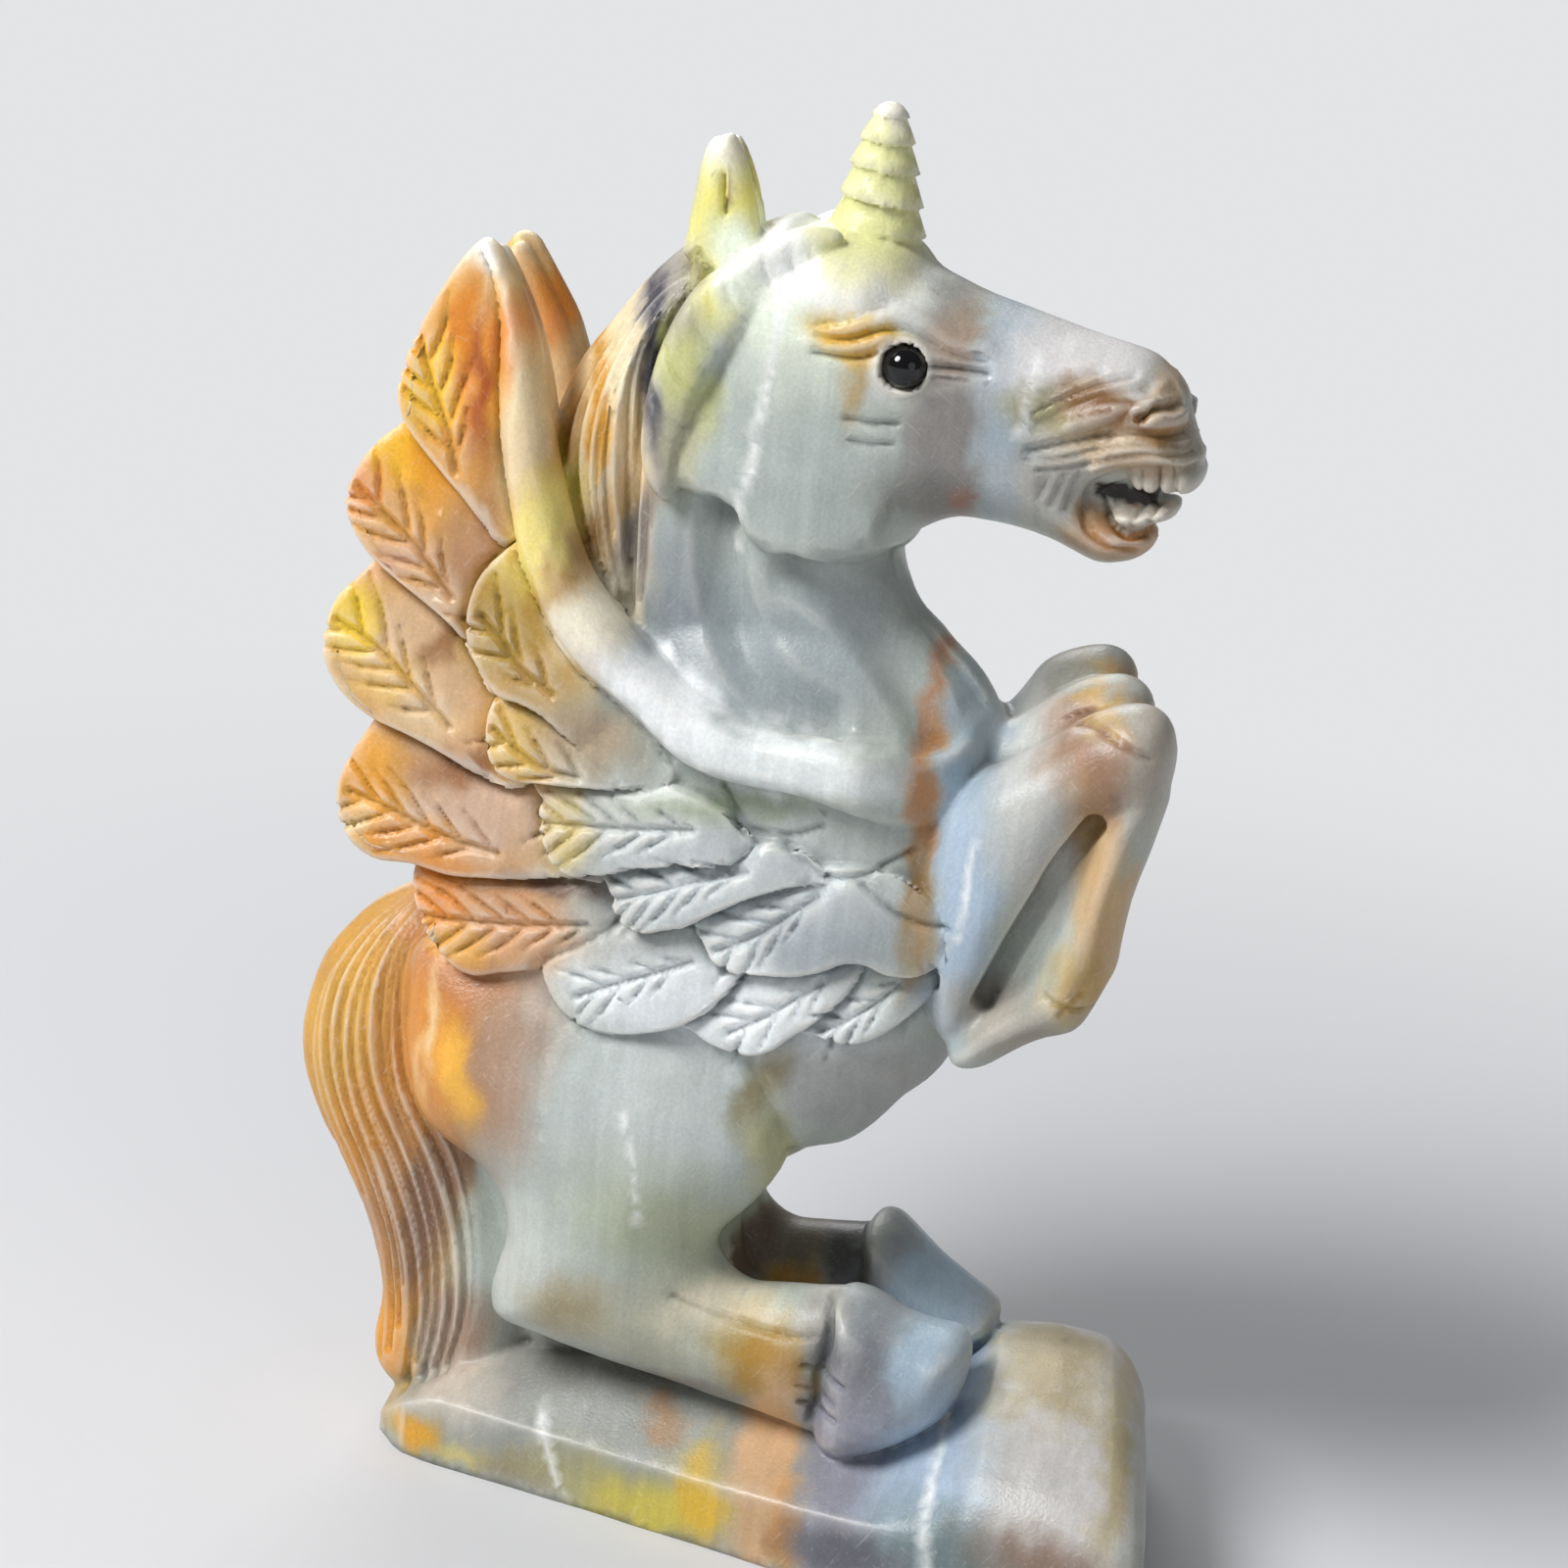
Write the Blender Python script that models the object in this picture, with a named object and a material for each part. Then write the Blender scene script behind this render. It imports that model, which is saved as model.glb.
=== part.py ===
"""A carved stone figurine of a rearing winged unicorn on a rock, with two black bead eyes.

The horse faces +X, its right side (the side carved for show) faces -Y, and Z is up. The stone is one
piece: head, horn, wings, body, legs, tail and rock. It is built the way a carver thinks of it, first the
rough masses seen from the side, then the crisp parts on them, then the cut lines. Sizes are millimetres
until the last step.
"""
import math

import bmesh
import bpy
import numpy as np
from mathutils import Vector
from mathutils.bvhtree import BVHTree
from mathutils.geometry import delaunay_2d_cdt

MM = 0.001

# Half widths across the figure, from its middle plane to its side
CHEST_HALF = 12.8
NECK_HALF = 9.5
MANE_HALF = 9.0
CHEEK_HALF = 12.3
EYE_HALF = 10.6
NOSE_HALF = 7.6
LIP_HALF = 6.6
NAPE_HALF = 11.0
NOSE_ROOT_HALF = 8.6
TAIL_HALF = 7.5
THIGH_HALF = 8.2
KNEE_HALF = 7.0
SHANK_HALF = 6.6
FORELEG_HALF = 6.2
CANNON_HALF = 5.8
SHOULDER_HALF = 3.6
HOOF_HALF = 6.6
EAR_HALF = 2.0
LOCK_HALF = 3.2
CORE_HALF = 5.0

# How far in from its outline each mass is rounded
TORSO_EDGE = 13.0
NECK_EDGE = 8.0
HEAD_EDGE = 6.5
CHEEK_EDGE = 3.0
LIP_EDGE = 4.0
TAIL_EDGE = 7.0
THIGH_EDGE = 11.0
ARM_EDGE = 6.0
CANNON_EDGE = 4.2
HOOF_EDGE = 4.6
FAR_HOOF_EDGE = 3.5
MANE_EDGE = 8.0
LOCK_EDGE = 1.8
FEATHER_EDGE = 1.5
BLADE_EDGE = 2.2
BAND_EDGE = 2.4
WEB_EDGE = 4.0
CORE_EDGE = 3.0

# Places across the figure
HIND_LEG_Y = 8.6
FORELEG_Y = 7.6
SHOULDER_Y = 5.0
EAR_Y = 6.0
LOCK_LOW_Y = 9.8
LOCK_MIDDLE_Y = 9.4
LOCK_TOP_Y = 7.4
FAR_EAR_SHIFT = (-2.6, -0.4, -1.8)

# How much the mane and the upper lip stand out from the neck and the nose, and how far the cheek falls back
MANE_PROUD = 1.2
LIP_PROUD = 0.3
CHEEK_TOP_FALL = 2.6
CHEEK_FRONT_FALL = 1.8

# The far foreleg stands further back and higher, from where it leaves the chest
FAR_LEG_BACK = 6.5
FAR_LEG_RISE = 1.1
FAR_LEG_FROM = 14.0
FAR_LEG_RUN = 16.0

# The web of stone between the forelegs, and the floor of the slot in each
WEB_BACK = 3.4
WEB_RISE = 0.5
WEB_HALF = 4.6
SLOT_FLOOR_Y = 5.5
SLOT_FLOOR_HALF = 4.0
SLOT_FLOOR_EDGE = 2.0

# Wings
FLANK = 12.8
CHEST_ROUNDING = 0.02
WING_TIP_SIDE = 12.2
WING_LEAVES_Z = 86.0
WING_RISE = 42.0
WING_INNER_SIDE = 6.0
FEATHER_HALF = 1.9
FEATHER_TILT = 0.16
BAND_HALVES = ((88, 4.8), (110, 3.6), (130, 2.6))
BAND_LIFT = 3.9
BAND_LIFT_TOP = 140.0
BAND_LIFT_RUN = 45.0
COVERT_LIFT = 2.9
LOWER_ROW_LIFT = 1.7
QUILL_LIFT = 0.6
BLADE_HALF = 2.6
BLADE_SINK = 1.6
FAR_WING_BACK = 3.5
FAR_WING_DROP = 2.4

# Cuts: half width and depth
RIB_CUT_HALF = 0.9
RIB_CUT_DEPTH = 0.8
HAIR_CUT_HALF = 1.0
HAIR_CUT_DEPTH = 0.9

# Horn
HORN_FOOT = (3.6, 0.0, 133.6)
HORN_TIP = (3.6, 0.0, 147.8)
HORN_FOOT_R = 4.7
HORN_TIP_R = 0.8
HORN_RINGS = 4
RING_STEP = 0.45
RING_TILT = 0.12
RING_TILT_RUN = 8.0
HORN_BULGE = 0.6
HORN_SIDES = 20
ROWS_PER_RING = 8

# Rock: where along X, half width at the floor, height in the middle, height of the sawn side
ROCK = (
    (-35.5, 8.5, 3.5, 2.0),
    (-32.0, 12.3, 6.5, 5.5),
    (-28.0, 13.4, 9.5, 7.6),
    (-12.0, 15.2, 13.5, 7.2),
    (0.0, 16.8, 13.5, 7.2),
    (10.0, 18.4, 12.5, 7.6),
    (20.0, 20.2, 12.0, 8.0),
    (25.5, 21.2, 16.5, 8.0),
    (29.5, 22.0, 20.5, 8.0),
    (36.0, 23.2, 21.4, 7.0),
    (41.5, 24.2, 21.0, 6.0),
    (44.2, 24.6, 18.8, 5.5),
    (46.0, 24.0, 15.5, 5.0),
)

# Where along X the rock's section turns from a flat top with sloping sides into an arch
ARCH_FROM = 14.0
ARCH_RUN = 14.0
SIDE_SLOPE = 1.8

# How far the rock's front end is turned from square, and over what length
ROCK_SLANT = 0.2
SLANT_RUN = 40.0

# How finely the rock is laid out, and how far it reaches below the floor until it is sawn off there
ROCK_SECTIONS = 60
ROCK_SECTION_POINTS = 21
ROCK_BELOW = 2.1

# The reach of the saw
SAW_DEPTH = 3.0
SAW_ALONG = 200.0
SAW_ACROSS = 120.0

# Eyes
EYE_AT = (10.0, 124.5)
BEAD_R = 2.1
BEAD_SHOWS = 1.35
SOCKET_GAP = 0.3
BEAD_SEGMENTS = 20
BEAD_RINGS = 12
BESIDE_THE_HEAD = 60.0

# How finely the stone is worked
ROUGH_VOXEL = 0.8
ROUGH_RUBS = 6
FINE_VOXEL = 0.42
FINE_RUBS = 2
STONE_TRIANGLES = 10400


# Curves and outlines
def curve(points, closed=True, steps=5):
    """A smooth curve through the points, with points close together kept tight."""
    p = np.array(points, float)
    n = len(p)
    out = []
    for i in range(n if closed else n - 1):
        if closed:
            a, b, c, d = p[i - 1], p[i], p[(i + 1) % n], p[(i + 2) % n]
        else:
            b, c = p[i], p[i + 1]
            a = p[i - 1] if i else 2 * b - c
            d = p[i + 2] if i + 2 < n else 2 * c - b
        gaps = [max(float(np.linalg.norm(v)), 1e-6) ** 0.5 for v in (b - a, c - b, d - c)]
        t0, t1, t2, t3 = 0.0, gaps[0], gaps[0] + gaps[1], sum(gaps)
        for s in range(steps):
            t = t1 + (t2 - t1) * s / steps
            a1 = (t1 - t) / (t1 - t0) * a + (t - t0) / (t1 - t0) * b
            a2 = (t2 - t) / (t2 - t1) * b + (t - t1) / (t2 - t1) * c
            a3 = (t3 - t) / (t3 - t2) * c + (t - t2) / (t3 - t2) * d
            b1 = (t2 - t) / (t2 - t0) * a1 + (t - t0) / (t2 - t0) * a2
            b2 = (t3 - t) / (t3 - t1) * a2 + (t - t1) / (t3 - t1) * a3
            out.append((t2 - t) / (t2 - t1) * b1 + (t - t1) / (t2 - t1) * b2)
    if not closed:
        out.append(p[-1])
    return np.array(out)


def distance(points, line, closed=True):
    """How far each flat point is from a line of points."""
    ends = np.roll(line, -1, axis=0) if closed else line[1:]
    starts = line if closed else line[:-1]
    best = np.full(len(points), 1e9)
    for a, b in zip(starts, ends):
        along = b - a
        t = np.clip(((points - a) @ along) / max(float(along @ along), 1e-12), 0.0, 1.0)
        best = np.minimum(best, np.linalg.norm(points - a - t[:, None] * along, axis=1))
    return best


def inside(points, ring):
    """Whether each flat point is inside a closed ring."""
    x, z = points[:, 0], points[:, 1]
    hit = np.zeros(len(points), bool)
    for a, b in zip(ring, np.roll(ring, -1, axis=0)):
        if a[1] != b[1]:
            crosses = (a[1] > z) != (b[1] > z)
            hit ^= crosses & (x < (b[0] - a[0]) * (z - a[1]) / (b[1] - a[1]) + a[0])
    return hit


def value(rule, x, z):
    """A number, or what a rule gives at these places."""
    return rule(x, z) if callable(rule) else np.full(len(x), float(rule))


def along_x(*pairs):
    """A rule that blends between (x, value) pairs."""
    xs, vs = zip(*pairs)
    return lambda x, z: np.interp(x, xs, vs)


def along_z(*pairs):
    """A rule that blends between (z, value) pairs."""
    zs, vs = zip(*pairs)
    return lambda x, z: np.interp(z, zs, vs)


# Masses
def slab(outline, middle, half, edge, cell=1.2):
    """A rounded slab seen from the side: its outline in X and Z, swelling to half on each side of middle."""
    ring = curve(outline)
    low, high = ring.min(axis=0), ring.max(axis=0)
    gx, gz = np.meshgrid(np.arange(low[0], high[0], cell), np.arange(low[1], high[1], cell))
    inner = np.stack([gx.ravel(), gz.ravel()], axis=1)
    inner = inner[inside(inner, ring)]
    inner = inner[distance(inner, ring) > 0.45 * cell]
    rims = np.concatenate([inset_ring(ring, share * min(edge, 4.0)) for share in (0.06, 0.25, 0.6)])
    rims = rims[inside(rims, ring)]
    flat = np.concatenate([ring, inner, rims])
    count = len(ring)
    border = [(i, (i + 1) % count) for i in range(count)]
    flat_verts = [Vector(p) for p in flat]
    verts, _, faces, _, _, _ = delaunay_2d_cdt(flat_verts, border, [], 1, 1e-4)
    p = np.array([(v.x, v.y) for v in verts])
    away = distance(p, ring)
    t = np.clip(away / edge, 0.0, 1.0)
    swell = value(half, p[:, 0], p[:, 1]) * np.sqrt(1.0 - (1.0 - t) ** 2)
    mid = value(middle, p[:, 0], p[:, 1])
    rim = away < 1e-3
    front = [(x, m - s, z) for (x, z), m, s in zip(p, mid, swell)]
    index_back = {}
    points = list(front)
    for i, ((x, z), m, s) in enumerate(zip(p, mid, swell)):
        if rim[i]:
            index_back[i] = i
        else:
            index_back[i] = len(points)
            points.append((x, m + s, z))
    tris = []
    for f in faces:
        a, b, c = f[0], f[1], f[2]
        tris.append((a, b, c))
        tris.append((index_back[c], index_back[b], index_back[a]))
    return np.array(points), tris


def inset_ring(ring, amount):
    """The ring moved inwards by an amount."""
    ahead = np.roll(ring, -1, axis=0) - np.roll(ring, 1, axis=0)
    normal = np.stack([-ahead[:, 1], ahead[:, 0]], axis=1)
    normal /= np.maximum(np.linalg.norm(normal, axis=1, keepdims=True), 1e-9)
    area = np.sum(ring[:, 0] * np.roll(ring[:, 1], -1) - np.roll(ring[:, 0], -1) * ring[:, 1])
    return ring + normal * amount * (1 if area > 0 else -1)


def rope(stations, sides=14, steps=5):
    """A tapering round limb through (x, y, z, half width across, half width in the side view)."""
    line = curve(stations, closed=False, steps=steps)
    centre = line[:, :3]
    ahead = np.gradient(centre, axis=0)
    ahead /= np.linalg.norm(ahead, axis=1, keepdims=True)
    across = np.array([0.0, 1.0, 0.0]) - ahead * ahead[:, 1:2]
    across /= np.linalg.norm(across, axis=1, keepdims=True)
    up = np.cross(ahead, across)
    points = []
    for c, s, u, row in zip(centre, across, up, line):
        for k in range(sides):
            a = 2 * math.pi * k / sides
            points.append(c + s * math.cos(a) * row[3] + u * math.sin(a) * row[4])
    rows = len(line)
    tris = []
    for r in range(rows - 1):
        for k in range(sides):
            a, b = r * sides + k, r * sides + (k + 1) % sides
            c, d = a + sides, b + sides
            tris.extend([(a, c, b), (b, c, d)])
    first, last = len(points), len(points) + 1
    points.extend([centre[0], centre[-1]])
    top = (rows - 1) * sides
    for k in range(sides):
        after = (k + 1) % sides
        tris.append((first, k, after))
        tris.append((last, top + after, top + k))
    return np.array(points), tris


def mirrored(shape, shift=None):
    """The same mass on the far side, moved by a rule of its place if one is given."""
    points, tris = shape
    points = points * np.array([1.0, -1.0, 1.0])
    if shift is not None:
        points = points + shift(points)
    return points, [(c, b, a) for a, b, c in tris]


# Blender meshes
def mesh_object(name, shapes):
    """One object holding several masses, each closed."""
    points, faces, start = [], [], 0
    for p, shape_faces in shapes:
        points.append(p)
        faces.extend([tuple(i + start for i in f) for f in shape_faces])
        start += len(p)
    mesh = bpy.data.meshes.new(name)
    mesh.from_pydata((np.concatenate(points) * MM).tolist(), [], faces)
    item = bpy.data.objects.new(name, mesh)
    bpy.context.scene.collection.objects.link(item)
    return item


def settle(item):
    """Make the modifiers' result the object's own mesh."""
    graph = bpy.context.evaluated_depsgraph_get()
    made = bpy.data.meshes.new_from_object(item.evaluated_get(graph))
    item.modifiers.clear()
    item.data = made


def fuse(item, voxel, passes):
    """Join overlapping masses into one skin and rub it smooth."""
    remesh = item.modifiers.new("Fuse", "REMESH")
    remesh.mode = "VOXEL"
    remesh.voxel_size = voxel * MM
    remesh.use_smooth_shade = True
    smooth = item.modifiers.new("Rub", "SMOOTH")
    smooth.factor = 0.5
    smooth.iterations = passes
    settle(item)


def read_points(item):
    flat = np.empty(len(item.data.vertices) * 3, np.float32)
    item.data.vertices.foreach_get("co", flat)
    return flat.reshape(-1, 3).astype(float) / MM


def read_normals(item):
    flat = np.empty(len(item.data.vertices) * 3, np.float32)
    item.data.vertices.foreach_get("normal", flat)
    return flat.reshape(-1, 3).astype(float)


def as_shape(item):
    """An object's mesh as points and faces, and the object gone."""
    shape = read_points(item), [tuple(f.vertices) for f in item.data.polygons]
    bpy.data.objects.remove(item)
    return shape


def write_points(item, points):
    item.data.vertices.foreach_set("co", (points * MM).astype(np.float32).ravel())
    item.data.update()


# The side view of each mass, in X and Z
TORSO = [
    (20.5, 91), (22.5, 84), (23, 76), (22.5, 67), (21.5, 59), (20.5, 52.5), (19, 50), (16.5, 47.5),
    (14, 44), (11.5, 41.5), (8, 40.2), (4, 37.5), (-3, 35), (-12, 33), (-22, 33), (-28.5, 35.5),
    (-33, 39), (-34.8, 44), (-35.5, 50), (-35, 57), (-32, 64), (-27, 72), (-23, 82), (-19, 92),
    (-12, 99), (0, 101), (12, 98),
]
NECK = [
    (9, 106), (10, 102.5), (12, 99), (14.5, 97), (16.5, 94.5), (18.5, 92), (20.5, 89), (18, 80), (0, 78),
    (-16, 84), (-19, 95), (-20, 106), (-19, 118), (-14, 128), (-6, 130), (2, 122),
]
MANE = [
    (-9, 133), (-12, 132.8), (-15.5, 131.3), (-19, 127.5), (-21.7, 123.5), (-24.5, 119.5), (-26.2, 115.5),
    (-27.5, 110.5), (-27.3, 106), (-25.5, 101.5), (-22.5, 97), (-18, 94), (-14.5, 92.5), (-13.5, 98),
    (-13.5, 106), (-13, 114), (-12.5, 121), (-9, 128),
]
HEAD = [
    (-10.5, 132.5), (-8, 134.5), (-6, 135.5), (-4.3, 136), (-2.5, 135.2), (-1, 136), (2, 136), (6, 135.4),
    (8.3, 134), (9.5, 132.7), (11.5, 132), (14.5, 131), (19.5, 130), (24, 129), (29, 128.1), (32, 127.4),
    (34, 126), (35.5, 124), (36.3, 121.8), (37, 119.8), (37.8, 118.3), (37.3, 116.8), (35, 115.8),
    (32.5, 115.2), (29.5, 114), (28.7, 113.2), (30, 112.2), (33, 111.4), (34.8, 110.3), (34.3, 108.6),
    (32.8, 107.3), (29.5, 106.5), (27, 107.3), (25, 108), (22, 108.6), (17, 109), (15.3, 109), (13, 108),
    (11.5, 107), (8, 105), (0, 104.5), (-7, 108), (-11.5, 112), (-12.5, 122),
]
CHEEK = [
    (11.2, 107.5), (10.3, 105.3), (8.5, 104.2), (5.5, 103.2), (3, 102.7), (0.5, 102.7), (-2, 103.2),
    (-4, 104.2), (-5.5, 105.2), (-8, 106.8), (-9.8, 107.8), (-12, 108.4), (-13, 112), (-12, 120),
    (-7, 127), (2, 129), (9, 121), (12.5, 114),
]
UPPER_LIP = [
    (27.5, 122), (30.5, 124.8), (33.6, 126.2), (35.6, 124.4), (36.6, 121.6), (37.4, 119.7), (38.1, 118.2),
    (37.6, 116.9), (34.8, 116.3), (31.5, 115.6), (28.7, 114.4), (26.2, 116),
]
LOCK = [
    (2, 135.6), (-1, 136.2), (-5, 134.4), (-7.5, 132.6), (-10.5, 130.2), (-12.3, 127.7), (-13.7, 124.5), (-14.7, 121),
    (-15.3, 117), (-15.3, 113), (-14.2, 109.5), (-12.2, 108), (-10.8, 110), (-10.4, 113), (-9.8, 115.8),
    (-9, 118.7), (-7.6, 121.9), (-5.8, 124.5), (-4.1, 126.9), (-2.2, 128.9), (-0.5, 131), (1.3, 133.2),
]
THIGH = [
    (-35, 57), (-35.6, 50.5), (-35, 45), (-33.5, 40), (-31, 37), (-28.5, 35.5), (-26, 34), (-24, 32.3),
    (-22.8, 30), (-22.4, 27), (-23.2, 23.5), (-23.8, 20), (-23.2, 17.8), (-21.5, 16.7), (-18, 16.3),
    (-12, 15.4), (-6, 14.6), (0, 13.6), (6, 12.8), (10, 12.2), (14.5, 12), (15.5, 20), (15, 28),
    (11, 27.6), (7, 27), (4, 26.6), (2, 27.4), (0.4, 29), (0.3, 31), (1.5, 33), (3.7, 35.7), (5.7, 38.7),
    (6.7, 41.5), (6.3, 44.5), (5, 47), (3.5, 49.5), (1, 54), (-5, 59), (-14, 62), (-25, 62),
]
HIND_HOOF = [
    (13.8, 27.9), (16.3, 28.1), (18.5, 27.5), (20.5, 26.7), (23.5, 26.2), (26.3, 26), (27.7, 24.9),
    (28.1, 22.5), (27.6, 19.5), (26.5, 17), (24.3, 14.6), (21.5, 12.4), (18.5, 10.8), (16.5, 10),
    (14.8, 10.4), (13, 12), (12.8, 18), (13.2, 24),
]
FAR_HIND_HOOF = [
    (12.8, 29), (15, 29.2), (17.5, 27.6), (20.5, 25.2), (23.5, 23.4), (26, 22), (27.4, 21), (27.7, 19.6),
    (25.5, 17), (21, 14), (16, 12), (12.8, 13), (12.5, 20),
]
ARM = [
    (12, 76), (16, 80), (19, 83.5), (22, 85.8), (25, 87.7), (28, 90), (31, 92.8), (34, 94.4), (37, 95),
    (39.2, 93.9), (40.4, 91), (40.4, 88), (39.5, 85), (36.5, 83.6), (34.4, 82.9), (33.2, 81), (31.3, 77.3),
    (29.4, 73), (27.4, 68), (25.6, 63.5), (24.2, 59), (21.5, 57), (17, 62), (13, 68),
]
CANNON = [
    (34.2, 84.5), (37, 87), (40.2, 87), (39.7, 83), (38.9, 79), (38, 75), (37.6, 71), (37.4, 68),
    (36.5, 65.5), (35.7, 63.3), (34.5, 61), (31.7, 59.8), (29, 58), (26.7, 56), (25, 55), (23, 54.8),
    (21.8, 56), (22.5, 59), (25, 62), (28, 64.3), (29.8, 66.5), (31, 70), (32.3, 74), (33.4, 79),
]
SLOT_FLOOR = [
    (18, 62), (22, 57.5), (27, 60), (31, 66), (33.5, 72), (35.5, 79), (36.5, 85), (30, 88), (20, 82),
]
CORE = [(-30, 40), (-25, 20), (-18, 8), (12, 8), (20, 10), (22, 18), (13, 22), (2, 23), (-2, 36)]
TAIL = [
    (-33, 67), (-37, 61.5), (-40.5, 59.2), (-43.3, 57), (-46, 54), (-48, 51), (-49.4, 47), (-50, 43),
    (-49.8, 39.5), (-48.8, 35.5), (-47, 31.5), (-45, 28.3), (-43, 25), (-41.2, 21.5), (-40, 18), (-39.2, 14.5),
    (-39, 11), (-39.4, 8), (-39, 5.3), (-37.4, 3.2), (-34, 1.5), (-26, 2), (-21.5, 6), (-21, 14),
    (-22, 21), (-25, 28.5), (-29, 36), (-30, 50),
]
EAR = [
    (-13.6, 130), (-13.7, 134.5), (-13.3, 138), (-12.9, 141), (-12.2, 142.8), (-11, 143.3), (-10.3, 143.6),
    (-9.3, 142.4), (-8.3, 140.4), (-7.4, 138), (-6.5, 134.5), (-6.6, 130),
]
BAND = [
    (-33, 130.8), (-31.5, 130.6), (-29.8, 128.6), (-28, 125.5), (-26.5, 122.3), (-25.5, 119), (-24.5, 114.7),
    (-23.4, 111), (-22, 107), (-20.2, 102.5), (-18.4, 99.3), (-16.3, 97), (-14, 95), (-11.3, 92.8),
    (-8.5, 90.8), (-5, 89.4), (-2, 88.6), (2, 88.2), (6, 88.3), (10, 88.5), (15, 88.8), (20.5, 88.5),
    (21.5, 82), (17.5, 79), (14.5, 79.2), (11, 80.4), (8, 81), (4, 81.5), (0, 81.5), (-3, 81.7),
    (-6.5, 82.6), (-9.2, 84), (-11.8, 86), (-14.7, 88), (-17.8, 90), (-20.4, 92.5), (-22.7, 95.5),
    (-24.8, 99), (-26.3, 102), (-27.2, 105), (-28.2, 108.7), (-29, 112.5), (-29.6, 117), (-30.1, 123),
    (-31.5, 128),
]
BLADE = [
    (-32.5, 130), (-35.5, 125), (-38.2, 118), (-38.5, 113), (-42.5, 107), (-43, 102.5), (-40, 97.5),
    (-43.3, 94), (-44.2, 88.5), (-42.5, 84), (-39, 81), (-41.5, 77), (-42, 72), (-39.5, 68.3), (-33.5, 67.5),
    (-33, 62), (-28.5, 58), (-20, 60), (-10, 62), (2, 66), (14, 70), (16, 80), (4, 86), (-8, 88),
    (-16.5, 96.4), (-18.7, 98.9), (-20.6, 102), (-22.4, 106.5), (-23.7, 110.5), (-24.8, 114.4), (-25.8, 118.7),
    (-26.8, 122), (-28.3, 125.2), (-30.1, 128.3), (-31.6, 130.1),
]

# Feathers: outline, lift over the flank, and midrib from its outer end inwards
QUILLS = {
    "first": (
        [(-32.7, 130.9), (-34.2, 129.3), (-36.6, 125), (-38.2, 121.5), (-39.3, 118), (-39.7, 114.8),
         (-38.7, 112), (-37, 110), (-34.5, 107.6), (-32, 105.4), (-29.7, 103), (-27.5, 101), (-26, 106),
         (-27.5, 114), (-28.5, 122), (-30.3, 128.5)],
        [(-38, 121), (-36, 116), (-34, 111.5), (-33, 108)]),
    "second": (
        [(-38, 112.7), (-40.5, 111), (-42.6, 108.8), (-44, 106), (-44.6, 103.5), (-43.8, 101.3), (-42.3, 99.2),
         (-40.8, 97.7), (-38.3, 96), (-35, 94.1), (-31.7, 91.8), (-29.3, 88.7), (-27, 86), (-24.5, 92),
         (-26.5, 101), (-32, 107.5), (-35.5, 111.2)],
        [(-43.3, 105), (-40, 102.5), (-37, 100.2), (-34.7, 97.7), (-32.5, 95.3)]),
    "third": (
        [(-40, 98.6), (-43, 95.6), (-44.8, 93.3), (-45.7, 90), (-45.5, 87), (-44.2, 84.7), (-42.2, 82.8),
         (-39.8, 81.5), (-36, 80.4), (-32.3, 79), (-28.5, 77.6), (-24, 76.8), (-21.5, 80), (-24, 87),
         (-30, 92.8), (-36, 96.3)],
        [(-44.5, 91), (-41.5, 89.7), (-38.5, 87.8), (-35.2, 85), (-31.7, 82)]),
    "fourth": (
        [(-39.2, 82.3), (-41.2, 79.5), (-43, 75.5), (-43.4, 72.5), (-42.7, 70), (-41, 68), (-38.5, 66.9),
         (-34.5, 67), (-30.5, 66.4), (-26.5, 66.8), (-22.5, 67.4), (-18, 68.3), (-13, 69), (-13, 73),
         (-20, 77), (-28, 78.7), (-34.5, 80.6)],
        [(-42, 73.3), (-38, 72.4), (-34, 71.2), (-30, 70.2), (-25.5, 69.8)]),
    "fifth": (
        [(-34.3, 67.6), (-34.7, 64), (-33.2, 60.2), (-31.5, 58.4), (-29.2, 56.7), (-27, 56.2), (-24, 57.1),
         (-20.5, 58.1), (-15, 59.7), (-9.5, 63), (-5, 66.5), (-8, 70), (-16, 69.6), (-25, 68.2)],
        [(-33.7, 61.3), (-28, 61.8), (-22, 62.6), (-15.7, 63.7)]),
}
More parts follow.
